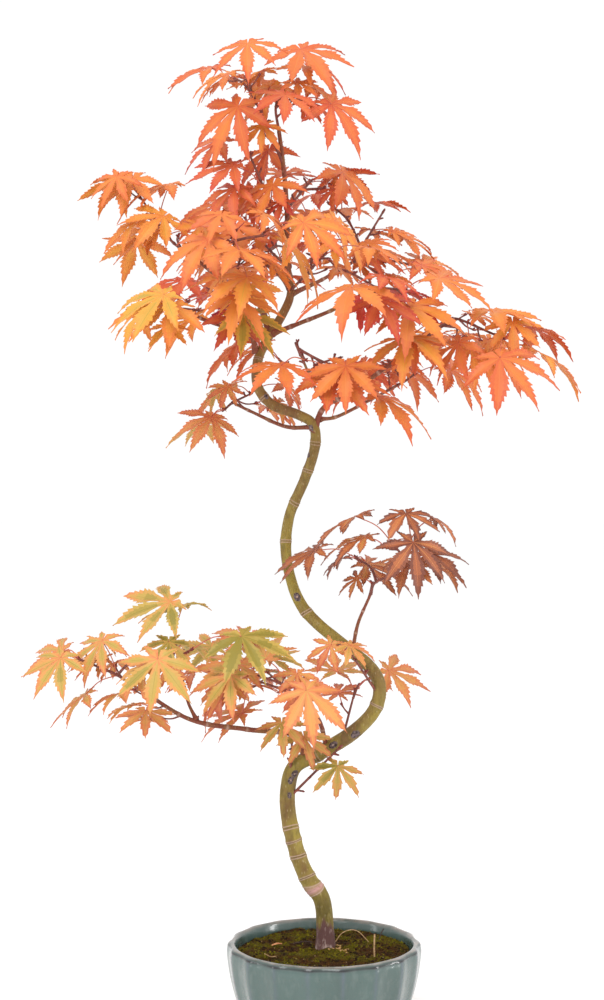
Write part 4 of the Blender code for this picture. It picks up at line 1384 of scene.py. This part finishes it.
def bough_skin(name, foot, end, route):
    """A bough's tube, with a collar where it leaves its bearer and small swellings at its nodes."""
    line = smooth_line(route, 1.6)
    run = way_along(line)
    rng = random.Random(f"{name} bark")
    radii = BOUGH_SHARE * (foot + (end - foot) * run / run[-1])
    collar = 0.7 * foot * np.exp(-run / (1.8 * foot))
    swell = ripple(round_tube(run, side_turns(BOUGH_SIDES), 6, 1.6), 1, name)
    skin = (radii + collar)[:, None] + 0.09 * swell * radii[:, None]
    ring, none = np.zeros_like(skin), np.zeros_like(skin)
    at = rng.uniform(14, 20)
    while at < run[-1] - 4:
        away = run[:, None] - at
        skin += 0.3 * bump_at(away, 1.6)
        ring += 0.8 * bump_at(away, 0.6)
        at += rng.uniform(15, 26)
    fields = dict.fromkeys(("crease_shade", "cork", "scar", "wood", "worn", "deep"), none)
    return swept(line, skin, UP + 0.3 * FRONT), {"ring": np.clip(ring, 0, 1), "youth": none + 1, **fields}


def bark_finish(settings):
    finish = Finish("maple_bark", settings.green, 0.6, Specular_IOR_Level=0.3)
    wood, scar = finish.value("wood"), finish.value("scar")
    finish.cover(finish.patches(48, 0.45, 0.66, (1, 1, 0.5)), settings.brown)
    finish.cover(finish.value("worn"), settings.brown, 0.6)
    finish.cover(finish.value("deep"), shade("bark_deep"), 0.8)
    finish.cover(finish.patches(260, 0.5, 0.68, (1, 1, 0.35)), shade("bark_olive"), 0.5)
    finish.cover(finish.patches(200, 0.52, 0.7, (1, 1, 0.3)), shade("bark_pale"), 0.5)
    finish.cover(finish.value("youth"), settings.young, finish.patches(90, 0.1, 0.5))
    finish.cover(finish.specks(480, 0.24, (1, 1, 0.35)), shade("bark_speck"), 0.75)
    finish.cover(wood, settings.wood)
    finish.cover(finish.patches(170, 0.53, 0.6, (1, 1, 0.3)), shade("wood_pale"), wood)
    finish.cover(finish.value("cork"), shade("cork"), finish.patches(300, 0.3, 0.45))
    finish.cover(finish.value("ring"), settings.ring, finish.patches(330, 0.15, 0.4))
    # painted shade in the groove of each narrow bud ring
    finish.cover(finish.value("crease_shade"), shade("crease_shade"), 0.8)
    scarred = spread(finish.tree, finish.plus(scar, finish.patches(520, 0.35, 2.0)), 0.4, 0.52)
    finish.cover(scarred, shade("scar_rim"))
    finish.cover(scarred, settings.scar, finish.patches(620, 0.44, 0.56))
    finish.cover(spread(finish.tree, scar, 0.88, 0.97), settings.ring, finish.patches(300, 0.35, 0.5))
    finish.rough(finish.patches(140), 0.5, 0.75)
    finish.bump(finish.plus(finish.patches(420, 0.25, 0.75, (1, 1, 0.5)), finish.specks(620, 0.25)), 0.0004)
    return finish.material


def joined_tubes(tubes):
    """The points, faces and stored values of several tubes together."""
    points, faces, values = [], [], {}
    for rings, fields in tubes:
        tube_points, tube_faces = tube_mesh(rings)
        start = sum(len(p) for p in points)
        points.append(tube_points)
        faces += [[start + i for i in face] for face in tube_faces]
        for key, field in fields.items():
            ends = [field[0].mean(), field[-1].mean()]
            values.setdefault(key, []).append(np.concatenate([field.reshape(-1), ends]))
    return np.vstack(points), faces, {key: np.concatenate(rows) for key, rows in values.items()}


class MAPLE_OT_bark(bpy.types.Operator):
    """Sweeps the trunk and boughs with bud rings, scars, collars and root flare"""

    bl_idname = "maple.bark"
    bl_label = "Trunk and boughs"

    def execute(self, context):
        settings = context.scene.maple_bark
        trunk_nodes = [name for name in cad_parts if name.startswith("trunk_")]
        boughs = [bough_skin(name, foot, end, route) for name, _, foot, end, route in BOUGHS]
        material = bark_finish(settings)
        for name, tubes, nodes in (
            ("trunk_bark", [trunk_skin(settings)], trunk_nodes),
            ("bough_bark", boughs, [row[0] for row in BOUGHS]),
        ):
            points, faces, values = joined_tubes(tubes)
            mesh = mesh_from(name, points, faces)
            add_values(mesh, **values)
            face_outwards(mesh)
            mesh.materials.append(material)
            mesh.shade_smooth()
            hand_over(new_object(name, mesh), nodes)
        return {"FINISHED"}


# Twigs, stalks and buds


def tube_tree():
    """Geometry Nodes that sweep a round section along edges, thick as the girth stored at each point."""
    tree, given = new_tree("swept_twigs", Sides="Int", Finish="Material")
    curve = add_node(tree, "GeometryNodeMeshToCurve", {"Mesh": given["Geometry"]})
    section = add_node(
        tree, "GeometryNodeCurvePrimitiveCircle", {"Resolution": given["Sides"], "Radius": 1.0}
    )
    tube = add_node(
        tree, "GeometryNodeCurveToMesh",
        {
            "Curve": curve.outputs["Curve"], "Profile Curve": section.outputs["Curve"],
            "Scale": stored(tree, "girth"), "Fill Caps": True,
        },
    )
    return close_tree(tree, tube.outputs["Mesh"], given["Finish"], smooth=True)


def wires(name, lines):
    """A mesh of edges along lines, each given as points and girths in millimetres."""
    points, edges, girths = [], [], []
    for line, girth in lines:
        start = len(points)
        points += list(line)
        girths += list(girth)
        edges += [(start + i, start + i + 1) for i in range(len(line) - 1)]
    mesh = bpy.data.meshes.new(name)
    mesh.from_pydata((MM * np.array(points)).tolist(), edges, [])
    add_values(mesh, girth=MM * np.array(girths))
    return mesh


def tapered(line, step, radius, girths, knots=()):
    """A finer line with girths that taper, swollen at its foot and at some ways along it."""
    fine = smooth_line(line, step)
    run = way_along(fine)
    foot, end, swell, foot_swell = (girth * radius for girth in girths)
    girth = foot + (end - foot) * run / run[-1] + foot_swell * np.exp(-run / (1.6 * foot))
    for at in knots:
        girth = girth + swell * bump_at(run - at, 1.3)
    return fine, girth


class MAPLE_OT_twigs(bpy.types.Operator):
    """Sweeps the shoots, spurs and leaf stalks, with swellings at their nodes"""

    bl_idname = "maple.twigs"
    bl_label = "Twigs and stalks"

    def execute(self, context):
        settings = context.scene.maple_twigs
        shoot, stalk = settings.shoot / MM, settings.stalk / MM
        _, masses = grown_tree()
        twigs, stalks = [], []
        for shoots, spurs, leaves in masses.values():
            for line in shoots:
                run = way_along(line)[-1]
                pairs = 1 + int(max(0, run - FIRST_PAIR) // PAIR_STEP)
                knots = [run - i * PAIR_STEP for i in range(pairs)]
                twigs.append(tapered(line, 2.2, shoot, SHOOT_GIRTHS, knots))
            for line in spurs:
                twigs.append(tapered(line, 2.0, shoot, SPUR_GIRTHS, [way_along(line)[-1]]))
            for leaf in leaves:
                line, girth = tapered(leaf.stalk, 2.5, stalk, STALK_GIRTHS)
                run = way_along(line)
                stalks.append((line, girth + STALK_TIP * stalk * np.exp(-(run[-1] - run) / 1.2)))
        tree = tube_tree()
        bark = Finish("shoot_bark", settings.shoot_colour, 0.55)
        bark.cover(bark.patches(260, 0.4, 0.6), shade("shoot_shade"))
        bark.cover(bark.specks(900, 0.2), shade("shoot_speck"), 0.6)
        bark.bump(bark.patches(900), 0.0001)
        skin = Finish("stalk_skin", settings.stalk_colour, 0.5)
        skin.cover(skin.patches(60, 0.4, 0.6), shade("stalk_sun"))
        for name, lines, sides, finish in (("twigs", twigs, 8, bark), ("leaf_stalks", stalks, 6, skin)):
            source = new_object(name, wires(name, lines))
            piece = run_tree(source, tree, name, Sides=sides, Finish=finish.material)
            hand_over(piece)
        return {"FINISHED"}


def bud_shape():
    """A pointed bud of two scales, one unit long along +Z."""
    work = bmesh.new()
    bmesh.ops.create_uvsphere(work, u_segments=8, v_segments=6, radius=0.5)
    for vertex in work.verts:
        rise = vertex.co.z + 0.5
        slim = 0.62 * (1 - 0.55 * max(0.0, rise - 0.35))
        vertex.co.x *= slim
        vertex.co.y *= 0.8 * slim
        vertex.co.z = rise - 0.12
    points = [tuple(v.co) for v in work.verts]
    faces = [[v.index for v in face.verts] for face in work.faces]
    work.free()
    return points, faces


def bud_tree():
    """Geometry Nodes that set a bud on each point, aimed and sized by what the point stores."""
    tree, given = new_tree("aimed_buds", Shape="Object", Finish="Material")
    aim = stored(tree, "aim", "FLOAT_VECTOR")
    turn = add_node(tree, "FunctionNodeAlignRotationToVector", {"Vector": aim}, axis="Z")
    shape = add_node(tree, "GeometryNodeObjectInfo", {"Object": given["Shape"]})
    placed = add_node(
        tree, "GeometryNodeInstanceOnPoints",
        {
            "Points": given["Geometry"], "Instance": shape.outputs["Geometry"],
            "Rotation": turn.outputs["Rotation"], "Scale": stored(tree, "size"),
        },
    )
    return close_tree(tree, placed.outputs["Instances"], given["Finish"], smooth=True)


class MAPLE_OT_buds(bpy.types.Operator):
    """Sets paired buds in the leaf axils and at the ends of the twigs"""

    bl_idname = "maple.buds"
    bl_label = "Buds"

    def execute(self, context):
        settings = context.scene.maple_twigs
        rng = random.Random("buds")
        _, masses = grown_tree()
        places, aims, sizes = [], [], []
        for shoots, spurs, leaves in masses.values():
            for leaf in leaves:
                out = unit(leaf.stalk[1] - leaf.stalk[0])
                aim = unit(out + 0.8 * UP)
                places.append(leaf.stalk[0] + 0.7 * aim)
                aims.append(aim)
                sizes.append(settings.bud * rng.uniform(*AXIL_BUD))
            for line in shoots + spurs:
                end = unit(line[-1] - line[-2])
                side = unit(np.cross(end, UP + 0.01))
                for turn in (-1, 1):
                    places.append(line[-1] + 0.4 * turn * side)
                    aims.append(unit(end + 0.35 * turn * side))
                    sizes.append(settings.bud * rng.uniform(*END_BUD))
        mesh = bpy.data.meshes.new("buds")
        mesh.from_pydata((MM * np.array(places)).tolist(), [], [])
        layer = mesh.attributes.new("aim", "FLOAT_VECTOR", "POINT")
        layer.data.foreach_set("vector", np.array(aims, np.float32).reshape(-1))
        add_values(mesh, size=sizes)
        shape = helper("bud_shape", bud_shape(), 1.0)
        finish = Finish("bud_scales", shade("bud"), 0.45)
        piece = run_tree(new_object("buds", mesh), bud_tree(), "buds", Shape=shape, Finish=finish.material)
        bpy.data.objects.remove(shape)
        hand_over(piece)
        return {"FINISHED"}


# Leaves

PROFILE = (
    (0.0, 0.24), (0.16, 0.36), (0.28, 0.62), (0.40, 0.90), (0.50, 1.0), (0.62, 0.90), (0.74, 0.62),
    (0.84, 0.34), (0.92, 0.14), (1.0, 0.0),
)
BLADE_WIDTH = 0.27  # of a lobe, as a share of its length
FUSED = 5  # stations from the stalk to where two lobes part
SINUS = 0.16
VEIN = 0.008
STRIPS = (-1.0, -0.5, -1e-3, 1e-3, 0.5, 1.0)


def lobe_stations(teeth):
    """Shares of a lobe's length beyond the sinus, how far each juts out, and how far it leans forward."""
    rows = [(0.07, 0.0, 0.0), (0.15, 0.0, 0.0)]
    for i in range(teeth):
        at = 0.22 + 0.64 * i / teeth
        step = 0.64 / teeth
        jut = (0.8, 0.5, 1.0, 0.6)[i % 4]
        rows.append((at, -0.4 * jut, 0.0))
        rows.append((at + 0.6 * step, jut, 0.45 * step))
    return rows + [(0.91, -0.1, 0.0), (1.0, 0.0, 0.0)]


def lobe_outline(leaf, lobe, gaps, curl, settings):
    """The middle line, two edges and droop of one lobe at each of its stations.

    Up to the sinus a lobe's edges lie on the lines midway to its neighbours, so that lobes share them.
    """
    angle, size = lobe
    teeth = settings.teeth if size > SMALL_LOBE else max(2, settings.teeth // 2)
    if leaf.length < SMALL_LEAF:
        teeth = max(2, teeth - 3)
    heading = np.array([math.sin(angle), math.cos(angle)])
    square = np.array([heading[1], -heading[0]])
    sinus = min(SINUS, 0.6 * size)
    axis, left, right, bends = [], [], [], []
    for i in range(FUSED):
        reach = sinus * i / (FUSED - 1)
        axis.append(reach * heading)
        for gap, edge in zip(gaps, (left, right)):
            edge.append(reach * np.array([math.sin(gap), math.cos(gap)]))
        bends.append(0.0)
    narrow = [0.5 * np.linalg.norm(edge[-1] - (edge[-1] @ heading) * heading) for edge in (left, right)]
    shares, half = np.array(PROFILE).T
    half = half * 0.5 * BLADE_WIDTH * size
    start = sinus / size
    for at, jut, lean in lobe_stations(teeth):
        s = start + (1 - start) * at
        width = float(np.interp(s, shares, half))
        fade = max(0.0, 1 - at / 0.25)
        reach = s * size * heading
        axis.append(reach)
        for sign, edge, thin in ((-1, left, narrow[0]), (1, right, narrow[1])):
            neck = max(width, 2 * thin * (1 - 0.25 * (1 - fade)))
            wide = width * (1 + settings.tooth * jut) * (1 - fade) + fade * neck
            edge.append(reach + (1 - start) * lean * size * heading + sign * wide * square)
        bends.append(curl * max(0.0, s - 0.3) ** 2 * size)
    return [np.array(side) for side in (axis, left, right, bends)]


def lobe_sheet(leaf, outline, traits, settings):
    """The points of one lobe by station and strip, from the stalk out to its tip."""
    axis, left, right, bends = outline
    sheet = np.empty((len(axis), len(STRIPS), 3))
    station = np.arange(len(axis))
    free = station >= FUSED
    for j, strip in enumerate(STRIPS):
        out = (left if strip < 0 else right) - axis
        wide = np.linalg.norm(out, axis=1)
        part = abs(strip)
        if part < 0.1:
            part = np.minimum(0.3, VEIN * (1 - 0.7 * station / len(axis)) / np.maximum(wide, 1e-9))
        part = np.broadcast_to(part, wide.shape)
        flat = axis + part[:, None] * out
        height = settings.fold * part * wide - bends
        if abs(strip) == 0.5:
            height = height + np.where(free, 0.004 * np.where(station % 2 == 0, 1, -1), 0)
        twist = traits["twist"] * np.sign(strip)
        height = height + free * part * wide * twist * (station - FUSED) / len(axis)
        wave = np.sin(0.7 * station + traits["wave"] + (0 if strip > 0 else 2))
        height = height + free * part**2 * 0.012 * wave
        sheet[:, j] = leaf.lay(flat[:, 0], flat[:, 1], height)
    return sheet


def strip_shift(strip, share, traits):
    """How many tints a strip of a lobe lies from the leaf's own: redder at margins, tips and heart."""
    shift = traits["tip"] * max(0.0, 2 * share - 1) ** 1.5 + traits["heart"] * max(0.0, 1 - share / 0.3)
    if strip == 2:
        shift -= traits["vein"]
    elif strip in (0, 4):
        shift += traits["margin"] * (0.4 + 0.6 * share)
    return shift


def leaf_faces(leaf, tone, rng, settings):
    """The open sheet of one leaf: points, quads and the tone of each quad."""
    foot, share = BASAL_LOBE
    lobes = [(math.radians(a), s) for a, s in leaf.lobes]
    small = [rng.uniform(0.8, 1.15) * share for _ in range(2)]
    lobes = [(-math.radians(foot), small[0])] + lobes + [(math.radians(foot), small[1])]
    back = math.radians(LEAF_BACK)
    bounds = [-back] + [0.5 * (a[0] + b[0]) for a, b in zip(lobes, lobes[1:])] + [back]
    leaf_tones = {name: rng.uniform(*span) for name, span in LEAF_TONES.items()}
    points, faces, tones = [], [], []
    for i, lobe in enumerate(lobes):
        curl = rng.uniform(*LOBE_CURL)
        traits = dict(leaf_tones, twist=rng.gauss(0, LOBE_TWIST), wave=rng.uniform(*PHASES))
        traits["tip"] += rng.uniform(*LOBE_TIP)
        own = tone + rng.gauss(0, LOBE_TONE)
        outline = lobe_outline(leaf, lobe, bounds[i : i + 2], curl, settings)
        sheet = lobe_sheet(leaf, outline, traits, settings)
        start = sum(len(p) for p in points)
        rows, columns, _ = sheet.shape
        points.append(sheet.reshape(-1, 3))
        for index, quad in enumerate(grid_faces(rows, columns, closed=False)):
            station, strip = divmod(index, columns - 1)
            faces.append([start + int(k) for k in quad])
            tones.append(own + strip_shift(strip, station / (rows - 1), traits))
    return np.vstack(points), faces, tones


def tint_materials(settings):
    """The plain tints of each ramp, with one more halfway between each two; the darker ramp is partly painted
    shade.
    """
    made = {"bright": [], "dull": [], "mellow": []}
    for ramp, tints in (("bright", BRIGHT), ("dull", DULL_AND_SHADED), ("mellow", MELLOW)):
        for (name, tint), (_, after) in zip(tints, tints[1:] + tints[-1:]):
            between = [0.5 * (a + b) for a, b in zip(tint, after)]
            for title, shade in ((name, tint), (f"{name}_deep", between)):
                finish = Finish(title, linear(shade), settings.roughness, Specular_IOR_Level=0.35)
                made[ramp].append(finish.material)
    return made


def leaf_piece(name, rows, materials, settings):
    """One joined piece of leaves, each a closed thin blade in its own outline."""
    flat = [tint for ramp in materials.values() for tint in ramp]
    points, faces, shades, start = [], [], [], 0
    for mass, ramp, low, high, leaves in rows:
        tints = materials[ramp]
        first = flat.index(tints[0])
        rng = random.Random(f"{mass} tints")
        for leaf in leaves:
            tone = rng.uniform(low, high)
            sheet, quads, tones = leaf_faces(leaf, tone, rng, settings)
            points.append(sheet)
            faces += [[start + i for i in quad] for quad in quads]
            shades += [first + min(len(tints) - 1, max(0, round(2 * t))) for t in tones]
            start += len(sheet)
    mesh = mesh_from(name, np.vstack(points), faces)
    for material in flat:
        mesh.materials.append(material)
    mesh.polygons.foreach_set("material_index", shades)
    with edited(mesh) as work:
        bmesh.ops.remove_doubles(work, verts=work.verts, dist=2e-6)
        bmesh.ops.dissolve_degenerate(work, edges=work.edges, dist=1e-6)
    mesh.shade_smooth()
    source = new_object(name, mesh)
    solid = source.modifiers.new("thickness", "SOLIDIFY")
    solid.thickness = settings.thickness
    solid.offset = 0.0
    piece = applied(source, name)
    piece.data.set_sharp_from_angle(angle=math.radians(CREASE_ANGLE))
    return piece


class MAPLE_OT_leaves(bpy.types.Operator):
    """Makes every mass's toothed palmate leaves, with autumn tints, partly painted shade on the lowest, dealt
    out by spray
    """

    bl_idname = "maple.leaves"
    bl_label = "Leaves"

    def execute(self, context):
        settings = context.scene.maple_leaves
        _, masses = grown_tree()
        materials = tint_materials(settings)
        for slot in sorted({row[4] for row in MASSES}):
            rows = [
                (name, *tints, masses[name][2])
                for name, _, _, _, finish, tints, _ in MASSES
                if finish == slot
            ]
            piece = leaf_piece(f"leaves_{slot}", rows, materials, settings)
            hand_over(piece, [row[0] for row in rows])
        return {"FINISHED"}


# Stage


def soft_light(name, place, size, power):
    """A rectangular area light that faces the middle of the tree."""
    light = bpy.data.lights.new(name, "AREA")
    light.shape = "RECTANGLE"
    light.size = size
    light.size_y = size + 0.9
    light.energy = power
    lamp = new_object(name, light)
    lamp.location = place
    aim = np.array(LIT) - place
    tilt = math.atan2(math.hypot(aim[0], aim[1]), -aim[2])
    lamp.rotation_euler = (tilt, 0, math.atan2(-aim[0], aim[1]))


class MAPLE_OT_stage(bpy.types.Operator):
    """Sets a white floor and surround, soft lights and the camera"""

    bl_idname = "maple.stage"
    bl_label = "Stage"

    def execute(self, context):
        settings = context.scene.maple_stage
        scene = context.scene
        scene.view_settings.view_transform = "Standard"
        world = bpy.data.worlds.new("white_surround")
        world.use_nodes = True
        background = world.node_tree.nodes["Background"]
        background.inputs["Color"].default_value = (1, 1, 1, 1)
        background.inputs["Strength"].default_value = settings.sky
        scene.world = world
        mesh = bpy.data.meshes.new("studio_floor")
        with edited(mesh) as work:
            bmesh.ops.create_grid(work, x_segments=1, y_segments=1, size=30)
        white = (settings.floor,) * 3 + (1.0,)
        mesh.materials.append(Finish("studio_white", white, 0.9, Specular_IOR_Level=0.0).material)
        floor = new_object("studio_floor", mesh)
        for name, place, size, share in LIGHTS:
            soft_light(name, place, size, share * settings.key)
        lens = bpy.data.cameras.new("studio_camera")
        lens.lens = settings.lens
        lens.sensor_width = 36
        lens.clip_start = 0.05
        camera = new_object("studio_camera", lens)
        camera.location = settings.place
        camera.rotation_euler = (math.pi / 2, 0, 0)
        scene.camera = camera
        return {"FINISHED"}


OPERATORS = (
    MAPLE_OT_pot, MAPLE_OT_soil, MAPLE_OT_moss, MAPLE_OT_litter, MAPLE_OT_bark, MAPLE_OT_twigs, MAPLE_OT_buds,
    MAPLE_OT_leaves, MAPLE_OT_stage,
)


class MAPLE_PT_panel(bpy.types.Panel):
    """Lists the tree's pieces and their sizes"""

    bl_idname = "MAPLE_PT_panel"
    bl_label = "Maple"
    bl_space_type = "VIEW_3D"
    bl_region_type = "UI"
    bl_category = "Maple"

    def draw(self, context):
        for operator in OPERATORS:
            self.layout.operator(operator.bl_idname)
        for name, group in SETTINGS.items():
            box = self.layout.box()
            for key in group.__annotations__:
                box.prop(getattr(context.scene, name), key)


CLASSES = (*SETTINGS.values(), *OPERATORS, MAPLE_PT_panel)


def register():
    for kind in CLASSES:
        bpy.utils.register_class(kind)
    for name, group in SETTINGS.items():
        setattr(bpy.types.Scene, name, bpy.props.PointerProperty(type=group))


def unregister():
    for name in SETTINGS:
        delattr(bpy.types.Scene, name)
    for kind in reversed(CLASSES):
        bpy.utils.unregister_class(kind)


def main():
    register()
    for operator in OPERATORS:
        group, name = operator.bl_idname.split(".")
        getattr(getattr(bpy.ops, group), name)()


if __name__ == "__main__":
    main()
